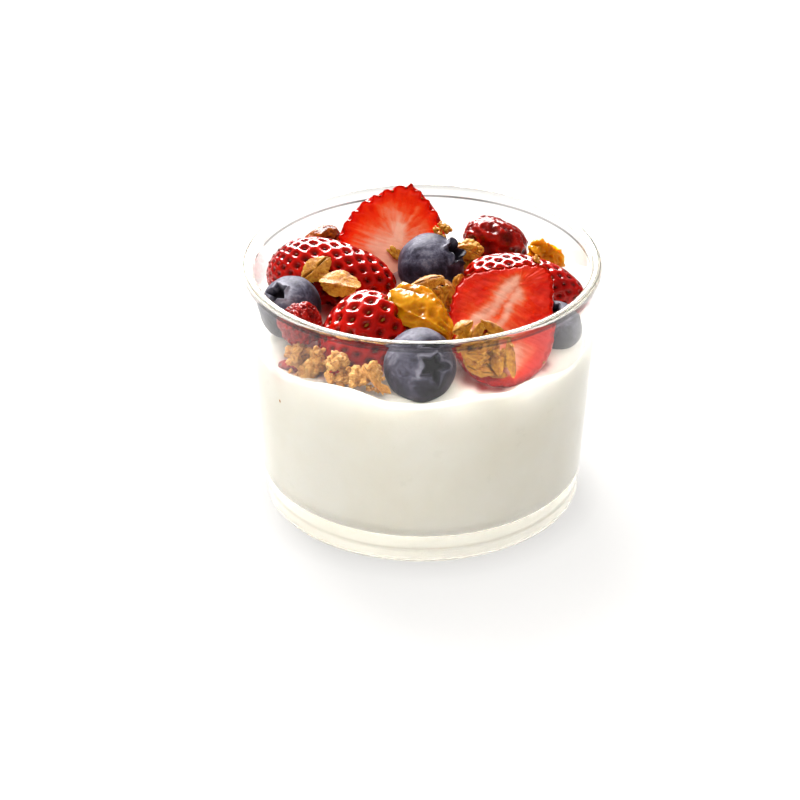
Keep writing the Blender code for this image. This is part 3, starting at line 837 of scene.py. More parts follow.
def pitRelief(points, frames, sizes, radius):
    # how deep each point lies in the pit at its nearest seed, and in the wide bowl round that
    here, out, on = frames
    index, near, nextNear = nearestOf(points, here)
    offset = points - here[index]
    lengthwise = (offset * on[index]).sum(axis=1)
    flatOffset = offset - out[index] * (offset * out[index]).sum(axis=1, keepdims=True)
    crosswise = np.sqrt(np.clip((flatOffset ** 2).sum(axis=1) - lengthwise ** 2, 0, None))
    size = radius * sizes[index]
    away = np.hypot(lengthwise / (size * 1.18), crosswise / (size * 0.92))
    inPit = 1 - smoothStep(0.30, 1.05, away)
    share = np.clip(2 * near / (near + nextNear), 0, 1)
    return inPit, (1 - share ** 2) ** 2


def skinMaterial():
    material, tree, shader = newMaterial("strawberrySkin", **{
        "Specular IOR Level": 0.08, "Specular Tint": (1.0, 0.4, 0.3, 1.0),
        "Coat Weight": 0.85, "Coat Roughness": 0.05, "Coat IOR": 1.40,
        "Subsurface Weight": 0.12, "Subsurface Radius": (0.0030, 0.0008, 0.0005), "Subsurface Scale": 1.0})
    where = place(tree)
    paintedPitShade = stored(tree, "paintedPitShade")
    patches = grain(tree, where, 130.0, 4.0, 0.6)
    skin = ramp(tree, patches, (0.30, paint(146, 2, 0)), (0.52, paint(180, 10, 0)), (0.72, paint(204, 22, 4)))
    # painted shade: the skin is drawn darker deep in the pits
    deep = blend(tree, paintedPitShade, skin, paint(122, 4, 0))
    tip = stored(tree, "tipward")
    colour = blend(tree, sums(tree, "MULTIPLY", tip, 0.5), deep, paint(140, 6, 4))
    fine = grain(tree, where, 2200.0, 2.0)
    normal = bumps(tree, fine, 0.00004, 0.35)
    rough = ramp(tree, grain(tree, where, 700.0, 3.0), (0.3, 0.20), (0.7, 0.34))
    finishMaterial(tree, shader, colour, rough, normal)
    return material


def seedMaterial():
    material, tree, shader = newMaterial("seedHusk", **{
        "Specular IOR Level": 0.10, "Coat Weight": 0.06, "Coat Roughness": 0.3})
    tone = stored(tree, "seedTone")
    husk = ramp(tree, tone, (0.0, paint(44, 6, 2)), (0.35, paint(84, 16, 6)), (0.65, paint(128, 70, 14)),
                (1.0, paint(184, 148, 54)))
    streak = grain(tree, place(tree), 3000.0, 2.0)
    colour = blend(tree, sums(tree, "MULTIPLY", streak, 0.35), husk, paint(90, 30, 12))
    rough = ramp(tree, streak, (0.3, 0.30), (0.7, 0.5))
    finishMaterial(tree, shader, colour, rough)
    return material


def seedTree():
    # one tapered seed on each point, lying along "along" and facing "out"
    tree, start, end = newTree("seedsOnSkin", {
        "Seed length": ("NodeSocketFloat", berryLook["seedLength"]),
        "Seed width": ("NodeSocketFloat", berryLook["seedWidth"]),
        "Seed thickness": ("NodeSocketFloat", berryLook["seedThickness"]),
        "Size spread": ("NodeSocketFloat", 0.18),
        "Tone": ("NodeSocketFloat", 0.5),
        "Tone spread": ("NodeSocketFloat", 0.22),
        "Random seed": ("NodeSocketInt", 4),
        "Finish": ("NodeSocketMaterial", None)})
    ball = addNode(tree, "GeometryNodeMeshIcoSphere", {"Radius": 1.0, "Subdivisions": 2})
    spot = addNode(tree, "GeometryNodeInputPosition")
    split = addNode(tree, "ShaderNodeSeparateXYZ", {0: spot.outputs[0]})
    narrow = sums(tree, "SUBTRACT", 0.82, sums(tree, "MULTIPLY", split.outputs["Y"], 0.28))
    wide = sums(tree, "MULTIPLY", split.outputs["X"], narrow)
    shaped = addNode(tree, "ShaderNodeCombineXYZ", {
        "X": wide, "Y": split.outputs["Y"], "Z": split.outputs["Z"]})
    tapered = addNode(tree, "GeometryNodeSetPosition", {
        "Geometry": ball.outputs["Mesh"], "Position": shaped.outputs[0]})
    size = addNode(tree, "ShaderNodeCombineXYZ", {
        "X": start.outputs["Seed width"], "Y": start.outputs["Seed length"],
        "Z": start.outputs["Seed thickness"]})
    seed = addNode(tree, "GeometryNodeTransform", {"Geometry": tapered.outputs[0], "Scale": size.outputs[0]})

    def carried(name, kind):
        # what each point carries
        return addNode(tree, "GeometryNodeInputNamedAttribute", {"Name": name}, data_type=kind).outputs[0]

    def drawnBetween(middle, spread):
        # a random number for each seed, round a middle
        node = addNode(tree, "FunctionNodeRandomValue", data_type="FLOAT")
        bounds = {"Min": sums(tree, "SUBTRACT", middle, spread), "Max": sums(tree, "ADD", middle, spread),
                  "Seed": start.outputs["Random seed"]}
        for socket in node.inputs:
            if socket.enabled and socket.name in bounds:
                tree.links.new(bounds[socket.name], socket)
        return [socket for socket in node.outputs if socket.enabled][0]

    standing = addNode(tree, "FunctionNodeAlignRotationToVector", {
        "Vector": carried("out", "FLOAT_VECTOR")}, axis="Z")
    turned = addNode(tree, "FunctionNodeAlignRotationToVector", {
        "Rotation": standing.outputs[0], "Vector": carried("along", "FLOAT_VECTOR")},
                     axis="Y", pivot_axis="Z")
    scale = sums(tree, "MULTIPLY", carried("size", "FLOAT"), drawnBetween(1.0, start.outputs["Size spread"]))
    placed = addNode(tree, "GeometryNodeInstanceOnPoints", {
        "Points": start.outputs["Geometry"], "Instance": seed.outputs["Geometry"],
        "Rotation": turned.outputs[0], "Scale": scale})
    kept = addNode(tree, "GeometryNodeStoreNamedAttribute", {
        "Geometry": placed.outputs[0], "Name": "seedTone"}, data_type="FLOAT", domain="INSTANCE")
    tone = drawnBetween(start.outputs["Tone"], start.outputs["Tone spread"])
    for socket in kept.inputs:
        if socket.enabled and socket.name == "Value":
            tree.links.new(tone, socket)
    closeTree(tree, end, kept.outputs[0], start.outputs["Finish"])
    return tree


def growSeeds(name, tree, material, points, out, along, size, tone, seed):
    mesh = bpy.data.meshes.new(name + "Points")
    mesh.from_pydata(points.tolist(), [], [])
    for key, value in (("out", out), ("along", along)):
        layer = mesh.attributes.new(key, "FLOAT_VECTOR", "POINT")
        layer.data.foreach_set("vector", value.astype(np.float32).ravel())
    layer = mesh.attributes.new("size", "FLOAT", "POINT")
    layer.data.foreach_set("value", size.astype(np.float32))
    source = inScene(name + "Points", mesh)
    runTree(source, tree, {"Tone": tone, "Random seed": seed, "Finish": material})
    piece = nodeResult(source, name)
    settle(piece, "strawberry")


def makeBerries(skin, husk, seeds):
    look = berryLook
    for number, (name, berry) in enumerate(berries.items()):
        print(name)
        spot = ownFrame(name, berry["axis"], berry["face"])
        half = spot["half"]
        rowsAt, _ = evenRows(half, berry, look["rows"])
        angles = np.arange(look["steps"]) * math.tau / look["steps"]
        rings = berryPoint(angles[None, :], rowsAt[:, None], half, berry)
        normals = ringNormals(rings)
        flat = rings.reshape(-1, 3)
        out = normals.reshape(-1, 3)
        spacing = berry["spacing"]
        pitAngles, pitAlong, sizes = pitPlaces(half, berry, spacing)
        frames = pitFrames(pitAngles, pitAlong, half, berry)
        inPit, bowl = pitRelief(flat, frames, sizes, spacing * look["pitSize"])
        along = np.repeat(rowsAt, look["steps"])
        shallow = 1 - 0.6 * smoothStep(0.62, 0.95, along)
        bowlDepth = look["bowlDepth"] * spacing / look["usualSpacing"]
        pitDepth = look["pitDepth"] * spacing / look["usualSpacing"]
        depth = bowlDepth + pitDepth
        height = -(bowlDepth * bowl + pitDepth * inPit) * shallow
        height += look["unevenness"] * softNoise(flat, 0.007, number + 2)
        flat = flat + out * height[:, None]
        ends = np.array([[0, 0, -half[2] * 0.97], [0, 0, half[2]]])
        points = intoPlace(np.concatenate([flat, ends]), spot)
        # how deep a point lies in its pit and bowl, used for painted shade in the pits
        values = {"paintedPitShade": np.concatenate([np.clip(0.75 * inPit + 0.35 * bowl, 0, 1), [0, 0]]),
                  "tipward": np.concatenate([smoothStep(0.7, 1.0, along), [0, 1]])}
        piece = makePiece(name + "_skin", points, ringFaces(look["rows"], look["steps"]), skin, values)
        settle(piece, "strawberry", name)
        here, pitOut, on = frames
        raised = smoothStep(0.62, 0.95, pitAlong) * 0.00012
        sunk = depth * (1 - 0.6 * smoothStep(0.62, 0.95, pitAlong))
        base = here - pitOut * (sunk - 0.00012 - raised)[:, None]
        keep = pitAlong < 0.992
        growSeeds(name + "_seeds", seeds, husk, intoPlace(base[keep], spot), pitOut[keep] @ spot["turn"].T,
                  on[keep] @ spot["turn"].T, sizes[keep] * (spacing / look["usualSpacing"]),
                  berry["seedTone"], number + 5)


# painted light: each slice's flesh is drawn lighter or darker by its own lightness factor, for how much light
# falls on it
def fleshMaterial(name, paintedLightness):
    def flesh(red, green, blue):
        return (*(shade * paintedLightness for shade in paint(red, green, blue)[:3]), 1.0)

    material, tree, shader = newMaterial(name + "Flesh", **{
        "Specular IOR Level": 0.25, "Specular Tint": (1.0, 0.55, 0.40, 1.0), "Coat Weight": 0.30,
        "Coat Roughness": 0.10, "Coat IOR": 1.4, "Subsurface Weight": 0.10,
        "Subsurface Radius": (0.0030, 0.0010, 0.0007), "Subsurface Scale": 1.0})
    where = place(tree)
    pale = stored(tree, "pale")
    rim = stored(tree, "rim")
    way = stored(tree, "fibre", "Vector")
    fibres = grain(tree, stretched(tree, way, (1.0, 0.10, 1.0)), 1.0, 3.0, 0.6, 0.3)
    cloud = grain(tree, where, 240.0, 4.0, 0.65)
    lift = sums(tree, "MULTIPLY", sums(tree, "SUBTRACT", fibres, 0.5), 0.32)
    mottle = sums(tree, "MULTIPLY", sums(tree, "SUBTRACT", cloud, 0.5), 0.75)
    depth = sums(tree, "ADD", sums(tree, "ADD", pale, lift), mottle)
    meat = ramp(tree, depth, (0.0, flesh(206, 18, 0)), (0.25, flesh(226, 46, 2)), (0.45, flesh(230, 84, 42)),
                (0.68, flesh(232, 130, 98)), (1.0, flesh(238, 172, 146)))
    edged = blend(tree, rim, meat, flesh(206, 16, 0))
    skinShade = ramp(tree, grain(tree, where, 130.0, 4.0), (0.3, paint(158, 6, 4)), (0.7, paint(202, 20, 12)))
    colour = blend(tree, stored(tree, "skin"), edged, skinShade)
    wet = grain(tree, where, 1500.0, 3.0, 0.6)
    rough = ramp(tree, grain(tree, where, 420.0, 3.0), (0.35, 0.16), (0.65, 0.42))
    relief = sums(tree, "ADD", sums(tree, "MULTIPLY", fibres, 1.0), sums(tree, "MULTIPLY", wet, 0.5))
    normal = bumps(tree, relief, 0.00010, 0.6)
    finishMaterial(tree, shader, colour, rough, normal)
    return material


def strokeDistance(across, along, start, end):
    # distance in shares of the slice from a straight stroke
    startPoint, endPoint = np.array(start), np.array(end)
    run = endPoint - startPoint
    offset = np.stack([across, along], axis=-1) - startPoint
    share = np.clip((offset @ run) / (run @ run), 0, 1)
    return np.linalg.norm(offset - share[..., None] * run, axis=-1)


def makeSlices(husk, seeds):
    acrossSteps, skinSteps, rowCount = 132, 120, 190
    for number, (name, berry) in enumerate(slices.items()):
        print(name)
        flesh = fleshMaterial(name, berry["paintedLightness"])
        spot = ownFrame(name, berry["axis"], berry["face"])
        halfWidth, halfDepth, halfLength = spot["half"]
        half = np.array([halfWidth, halfDepth * 2, halfLength])
        rowsAt, _ = evenRows(np.array([halfWidth, halfWidth, halfLength]), berry, rowCount)

        def slanted(flat, slant=berry["slant"], length=halfLength):
            # the far end leans to one side
            return flat[:, 2] - slant * flat[:, 0] * smoothStep(-0.3, 0.6, flat[:, 2] / length)

        # skin behind the cut, from the right edge round to the left one
        angles = math.pi + math.pi * (np.arange(skinSteps + 1)) / skinSteps
        skin = berryPoint(angles[None, :], rowsAt[:, None], half, berry)
        out = np.cross(np.gradient(skin, axis=1), np.gradient(skin, axis=0))
        out /= np.linalg.norm(out, axis=2, keepdims=True) + tiny
        if (out * skin * np.array([1, 1, 0])).sum() < 0:
            out = -out
        out[:, 0, 1] = out[:, -1, 1] = 0
        # seed places: one row along each edge, the rest spread behind
        spacing = berry["spacing"]
        pitAngles, pitAlong, sizes = pitPlaces(half, berry, spacing)
        behind = (pitAngles > math.pi + 0.30) & (pitAngles < math.tau - 0.30)
        edgeAlong, travelled = evenRows(np.array([halfWidth, halfWidth, halfLength]), berry, 400)
        count = int(travelled / berry["edgeSpacing"])
        picks = ((np.arange(count) + 0.5) / count * 400).astype(int)
        shift = np.random.default_rng(number + 3).uniform(-6, 6, count).astype(int)
        rightRow = edgeAlong[np.clip(picks + shift, 0, 399)]
        leftRow = edgeAlong[np.clip(picks - shift + 4, 0, 399)]
        pitAngles = np.concatenate([pitAngles[behind], np.full(count, math.pi + 0.03),
                                    np.full(count, math.tau - 0.03)])
        pitAlong = np.concatenate([pitAlong[behind], leftRow, rightRow])
        sizes = np.concatenate([sizes[behind], np.full(2 * count, 0.8)])
        frames = pitFrames(pitAngles, pitAlong, half, berry)
        flatSkin = skin.reshape(-1, 3)
        inPit, bowl = pitRelief(flatSkin, frames, sizes, spacing * 0.46)
        depth = berry["scallop"]
        height = -depth * (0.55 * inPit + 0.45 * bowl)
        skin = (flatSkin + out.reshape(-1, 3) * height[:, None]).reshape(skin.shape)
        # the cut face between the two edges
        left, right = skin[:, 0], skin[:, -1]
        share = (1 - np.cos(np.linspace(0, math.pi, acrossSteps + 1))) / 2
        share = 0.5 * share + 0.5 * np.linspace(0, 1, acrossSteps + 1)
        face = right[:, None] + (left - right)[:, None] * share[None, 1:-1, None]
        outline = np.concatenate([left, right[::-1]])
        _, toEdge, _ = nearestOf(face.reshape(-1, 3), outline)
        across = face[..., 0].reshape(-1) / halfWidth
        along = np.repeat(rowsAt, face.shape[1])
        scale = np.array([halfWidth, halfLength * 2])
        coreStart, coreEnd = np.array(berry["core"]) * scale
        flatPlace = np.stack([across, along], axis=1) * scale
        run = coreEnd - coreStart
        onCore = coreStart + np.clip((flatPlace - coreStart) @ run / (run @ run), 0, 1)[:, None] * run
        heading = np.arctan2(*(flatPlace - onCore).T[::-1])
        fromCore = np.linalg.norm(flatPlace - onCore, axis=1)
        heading = heading + (onCore @ run) / np.linalg.norm(run) / 0.004    # fibres side by side
        # pale strokes with a soft edge, frayed along the fibres
        stray = 0.05 * softNoise(face.reshape(-1, 3), 0.0036, 21)
        fray = softNoise(np.stack([heading * 7, fromCore * 140, heading * 0], axis=1), 1.0, 12)
        pale = np.zeros(len(across))
        soft = np.zeros(len(across))
        for start, end, width in berry["pale"]:
            gap = strokeDistance(across * 0.5 + stray, along, (start[0] * 0.5, start[1]),
                                 (end[0] * 0.5, end[1]))
            gap = gap * (1 + 0.30 * fray)
            pale = np.maximum(pale, np.exp(-(gap / width) ** 2))
            soft = np.maximum(soft, np.exp(-(gap / (width * 2.4)) ** 2))
        pale = berry["paleness"] * (0.5 * pale + 0.5 * soft)
        pale *= smoothStep(0.0, 0.0032, toEdge)
        rim = 1 - smoothStep(0.0, 0.0012, toEdge)
        flatFace = face.reshape(-1, 3)
        rounded = 0.00045 * (1 - smoothStep(0.0, 0.0010, toEdge)) ** 2
        relief = 0.00007 * softNoise(np.stack([heading * 14, fromCore * 260, heading * 0], axis=1), 1.0, 5)
        relief += 0.00010 * softNoise(flatFace, 0.0016, 9) + 0.00022 * softNoise(flatFace, 0.0065, 6)
        flatFace[:, 1] += relief - rounded
        face = flatFace.reshape(face.shape)
        # whole loops: skin from one edge to the other, then back over the face
        rings = np.concatenate([skin, face], axis=1)
        steps = rings.shape[1]
        faceCount = face.shape[1]

        def perLoop(onSkin, onFace):
            joined = np.concatenate([onSkin.reshape(rowCount, -1), onFace.reshape(rowCount, -1)], axis=1)
            ends = [joined[0].mean(keepdims=True), joined[-1].mean(keepdims=True)]
            return np.concatenate([joined.reshape(-1), *ends])

        skinCount = skin.shape[1]
        skinShare = np.ones((rowCount, skinCount))
        skinShare[:, 0] = skinShare[:, -1] = 0.6
        none = np.zeros((rowCount, skinCount))
        values = {
            "pale": perLoop(none, pale), "rim": perLoop(none + 1, rim),
            "skin": perLoop(skinShare, np.zeros(rowCount * faceCount)),
        }
        fibre = np.stack([perLoop(none, heading * 5.5), perLoop(none, fromCore * 1000),
                          perLoop(none, np.full(rowCount * faceCount, number * 3.0))], axis=1)
        values["fibre"] = fibre
        mean = rings.mean(axis=1)
        ends = np.array([[mean[0][0], mean[0][1], -half[2]],
                         [mean[-1][0], mean[-1][1], rings[-1, :, 2].mean() + 0.00005]])
        flat = np.concatenate([rings.reshape(-1, 3), ends])
        flat[:, 1] += halfDepth    # the frame's middle lies behind the cut face
        flat[:, 2] = slanted(flat)
        points = intoPlace(flat, spot)
        piece = makePiece(name + "_cut", points, ringFaces(rowCount, steps), flesh, values)
        settle(piece, "strawberry_cut", name)
        here, pitOut, on = frames
        base = here - pitOut * (depth - 0.00014)
        base[:, 1] += halfDepth
        base[:, 2] = slanted(base)
        keep = (pitAlong < 0.985) & (pitAlong > 0.05)
        keep &= np.random.default_rng(number + 60).random(len(keep)) < berry["seedShare"]
        growSeeds(name + "_seeds", seeds, husk, intoPlace(base[keep], spot), pitOut[keep] @ spot["turn"].T,
                  on[keep] @ spot["turn"].T, sizes[keep], berry["seedTone"], number + 15)


blueLook = {
    "rows": 120,
    "steps": 168,
    "flatness": 0.07,
    "waves": 0.00022,
}

blueberries = {
    # crown: mean half angle of the star, how far its points reach, depth and lip as shares of the radius
    "blueberry_front": {
        "axis": (0.40, -0.80, 0.44), "points": 5, "open": 20.0, "star": 0.52, "turn": 0.5,
        "sink": 0.20, "lip": 0.026, "teeth": 0.03, "seed": 3},
    "blueberry_left": {
        "axis": (-0.45, -0.45, 0.80), "points": 5, "open": 20.0, "star": 0.30, "turn": 0.9,
        "sink": 0.24, "lip": 0.030, "teeth": 0.06, "seed": 5},
    "blueberry_top": {
        "axis": (0.76, -0.20, 0.62), "points": 5, "open": 21.0, "star": 0.25, "turn": 0.2,
        "sink": 0.26, "lip": 0.030, "teeth": 0.16, "seed": 8, "rubbed": 0.30},
    "blueberry_right": {
        "axis": (-0.20, -0.30, 0.93), "points": 6, "open": 24.0, "star": 0.30, "turn": 0.0,
        "sink": 0.24, "lip": 0.040, "teeth": 0.14, "seed": 11},
}


def blueberryMaterial():
    material, tree, shader = newMaterial("blueberrySkin", **{
        "Specular IOR Level": 0.12, "Sheen Weight": 0.03, "Sheen Roughness": 0.5,
        "Sheen Tint": (0.62, 0.68, 0.85, 1.0)})
    where = place(tree)
    broad = grain(tree, where, 190.0, 5.0, 0.65, 0.8)
    fine = grain(tree, where, 1000.0, 4.0, 0.7)
    rubbed = sums(tree, "ADD", sums(tree, "MULTIPLY", broad, 0.66), sums(tree, "MULTIPLY", fine, 0.34))
    # the pale waxy bloom, with painted light in it: lighter towards the top, darker towards +X
    bloomedWithPaintedLight = sums(tree, "ADD", rubbed, sums(tree, "MULTIPLY", stored(tree, "bloomAndPaintedLight"), 0.20))
    skin = ramp(tree, bloomedWithPaintedLight,
                (0.38, paint(18, 12, 18)), (0.49, paint(42, 37, 50)), (0.58, paint(76, 73, 89)),
                (0.76, paint(144, 141, 152)))
    scratch = ramp(tree, cells(tree, stretched(tree, where, (1, 1, 0.4)), 520.0, "DISTANCE_TO_EDGE"),
                   (0.0, 1.0), (0.05, 0.0))
    worn = blend(tree, sums(tree, "MULTIPLY", scratch, 0.18), skin, paint(40, 40, 58))
    colour = blend(tree, stored(tree, "crown"), worn, paint(7, 2, 5))    # the crown is nearly black
    rough = ramp(tree, bloomedWithPaintedLight, (0.36, 0.34), (0.66, 0.62))
    normal = bumps(tree, fine, 0.00006, 0.4)
    finishMaterial(tree, shader, colour, rough, normal)
    return material


def starOpening(angle, berry):
    # half angle of the crown's opening, uneven points included
    draw = np.random.default_rng(berry["seed"])
    turn = angle * berry["points"] / math.tau + berry["turn"]
    number = np.floor(turn).astype(int) % berry["points"]
    lengths = draw.uniform(0.55, 1.35, berry["points"])
    tip = (1 - np.abs((turn % 1) * 2 - 1)) ** 1.5 * lengths[number]
    small = 0.10 * np.sin(7 * angle + berry["seed"]) + 0.07 * np.sin(13 * angle)
    return berry["open"] * (0.72 + berry["star"] * 1.6 * tip + 0.35 * small * berry["star"])


def makeBlueberries():
    look = blueLook
    material = blueberryMaterial()
    for name, berry in blueberries.items():
        print(name)
        spot = ownFrame(name, berry["axis"])
        radius = spot["half"][:2].max()
        # rows are closer together round the crown
        share = np.linspace(0, 1, look["rows"] + 2)[1:-1]
        tilt = 180 * (0.55 * share + 0.45 * share ** 2)
        angles = np.arange(look["steps"]) * math.tau / look["steps"]
        tiltGrid, angleGrid = np.meshgrid(tilt, angles, indexing="ij")
        opening = starOpening(angleGrid, berry)
        inside = 1 - smoothStep(opening - 1.8, opening + 0.8, tiltGrid)
        rim = np.exp(-((tiltGrid - opening - 1.8) / 3.0) ** 2)
        teeth = np.abs(np.sin(berry["points"] * angleGrid / 2 + berry["turn"] * math.pi + 0.6)) ** 1.6
        reach = 1 - look["flatness"] * np.cos(np.radians(tiltGrid)) ** 2
        reach += rim * (berry["lip"] + berry["teeth"] * teeth) - berry["sink"] * inside
        reach -= 0.03 * np.exp(-((tiltGrid - 34) / 9) ** 2) * np.cos(angleGrid * 2 + berry["seed"])
        flat = np.radians(tiltGrid)
        ball = np.stack([np.sin(flat) * np.cos(angleGrid), np.sin(flat) * np.sin(angleGrid), np.cos(flat)],
                        axis=-1)
        wave = look["waves"] * softNoise(ball.reshape(-1, 3) * radius, 0.0045, berry["seed"])
        points = ball * (reach * radius + wave.reshape(reach.shape))[..., None]
        top = points[0].mean(axis=0)
        bottom = np.array([0, 0, -(1 - look["flatness"]) * radius])
        points = np.concatenate([points.reshape(-1, 3), [top], [bottom]])
        # the frame's middle is between the crown and the far end
        shift = spot["half"][2] - (1 - look["flatness"]) * radius
        points[:, 2] -= shift
        crown = np.clip(inside + 0.30 * rim * (berry["teeth"] > 0.1), 0, 1)
        pale = np.exp(-((tiltGrid - opening - 7) / 6) ** 2)
        world = intoPlace(points, spot)
        # painted light: bloom lighter towards the top and darker towards +X, plus a pale ring round the crown
        above = (world[:, 2] - spot["middle"][2]) / radius
        side = (world[:, 0] - spot["middle"][0]) / radius
        bloomAndPaintedLight = 0.55 * above - 0.30 * side + 0.60 * np.concatenate([pale.reshape(-1), [0, 0]])
        bloomAndPaintedLight -= berry.get("rubbed", 0)
        values = {"crown": np.concatenate([crown.reshape(-1), [1, 0]]), "bloomAndPaintedLight": bloomAndPaintedLight}
        piece = makePiece(name + "_skin", world, ringFaces(look["rows"], look["steps"]), material, values)
        settle(piece, "blueberry", name)


driedLook = {
    "rows": 110,
    "steps": 150,
    "bluntness": 0.85,         # under 1, the ends are blunter than a ball's
    "stretch": 0.42,           # how much the long folds follow the fruit's length
    "pleatDepth": 0.0011,
    "grainCount": 60,          # knobs on a fruit of the usual size
    "usualHalf": 0.0048,
}

driedFruit = {
    # fold: depth of the long folds; crumple: depth of the small ones; scale: from fold to fold
    # sides and twist: flat sides; fan: how much the far end spreads and thins; pleats: folds across that end
    # grains: depth of knobs like those of a bramble fruit; plump and shift: against the frame's box
    "cranberry_back": {
        "axis": (0.90, 0.10, -0.42), "face": (0, -0.6, 0.8), "fold": 0.00034, "crumple": 0.00036,
        "scale": 0.0029, "kind": "red", "seed": 1, "plump": (1.30, 1.0, 1.06), "shift": (0, 0, -0.0006)},
    "cranberry_left_back": {
        "axis": (0.9, 0.3, 0.4), "face": (0, -0.6, 0.8), "fold": 0.00026, "crumple": 0.00026,
        "scale": 0.0024, "kind": "brown", "seed": 2, "twist": 0.6},
    "cranberry_front_left": {
        "axis": (-0.3, -0.35, 0.9), "face": (0, -1, 0.4), "fold": 0.00026, "crumple": 0.00046,
        "scale": 0.0013, "kind": "bright", "seed": 3, "twist": 0.4},
    "cranberry_low": {
        "axis": (0.8, -0.6, 0.3), "face": (0, -1, 0.4), "fold": 0.00010, "crumple": 0.00018,
        "grains": 0.00012, "scale": 0.0013, "kind": "bright", "seed": 4, "sides": 0, "twist": 0,
        "plump": (1.25, 1.0, 1.25), "shift": (0.0, 0.0, 0.0005)},
    "raisin_centre": {
        "axis": (-0.74, 0.48, 0.42), "face": (0.3, -0.6, 0.8), "fold": 0.00044, "crumple": 0.00027,
        "scale": 0.0028, "kind": "golden", "seed": 5, "fan": 0.20, "pleats": 5,
        "plump": (1.36, 1.06, 1.03), "shift": (-0.0004, -0.0012, -0.0008)},
    "raisin_back": {
        "axis": (-0.85, 0.1, 0.5), "face": (0, -0.8, 0.6), "fold": 0.00040, "crumple": 0.00036,
        "scale": 0.0022, "kind": "golden", "seed": 6, "sides": 3, "fan": 0.30, "pleats": 5,
        "plump": (1.35, 1.1, 1.10), "shift": (0, 0, 0.0006)},
}
plainDried = {
    "grains": 0.0, "sides": 5, "twist": 0.5, "fan": 0, "pleats": 0, "plump": (1, 1, 1),
    "shift": (0, 0, 0)}

darkDried = {
    "gloss": 0.12, "glossTint": (1.0, 0.6, 0.5, 1.0), "coatRough": 0.08, "bend": 1.5,
    "depth": 0.10, "depthReach": (0.0020, 0.0004, 0.0003), "patches": (260.0, 0.6), "patchShare": 0.55,
    "brightAt": 0.75, "fine": 1600.0, "rough": (0.16, 0.36), "bump": (0.00016, 0.8)}
clearDried = {
    "gloss": 0.20, "glossTint": (1.0, 0.8, 0.5, 1.0), "coatRough": 0.11, "bend": 1.45,
    "depth": 0.55, "depthReach": (0.0040, 0.0018, 0.0004), "patches": (230.0, 0.55), "patchShare": 0.5,
    "brightAt": 0.78, "fine": 1500.0, "rough": (0.14, 0.34), "bump": (0.00008, 0.5)}
driedKinds = {
    # dark, middle and bright shade, strength of the wet coat, and how the flesh takes the light
    "red": ((44, 0, 0), (112, 5, 0), (172, 22, 8), 0.45, darkDried),
    "bright": ((34, 0, 0), (128, 4, 2), (196, 26, 14), 0.55, darkDried),
    "brown": ((26, 4, 2), (74, 14, 6), (170, 84, 12), 0.25, darkDried),
    "golden": ((146, 72, 0), (196, 124, 4), (224, 164, 34), 0.5, clearDried),
}


def driedMaterial(kind):
    dark, middle, bright, coat, flesh = driedKinds[kind]
    material, tree, shader = newMaterial(kind + "DriedFruit", **{
        "Specular IOR Level": flesh["gloss"], "Specular Tint": flesh["glossTint"], "IOR": flesh["bend"],
        "Coat Weight": coat, "Coat Roughness": flesh["coatRough"], "Subsurface Weight": flesh["depth"],
        "Subsurface Radius": flesh["depthReach"], "Subsurface Scale": 1.0})
    where = place(tree)
    scale, roughness = flesh["patches"]
    patches = grain(tree, where, scale, 4.0, roughness)
    share = flesh["patchShare"]
    # colour depth: the fruit's own patches, and painted shade: darker down in the folds, lighter on their
    # tops
    depth = mixed(tree, (patches, share), (stored(tree, "height"), 1 - share))
    colour = ramp(tree, depth, (0.25, paint(*dark)), (0.50, paint(*middle)),
                  (flesh["brightAt"], paint(*bright)))
    fine = grain(tree, where, flesh["fine"], 3.0)
    smooth, dull = flesh["rough"]
    rough = ramp(tree, fine, (0.3, smooth), (0.7, dull))
    finishMaterial(tree, shader, colour, rough, bumps(tree, fine, *flesh["bump"]))
    return material


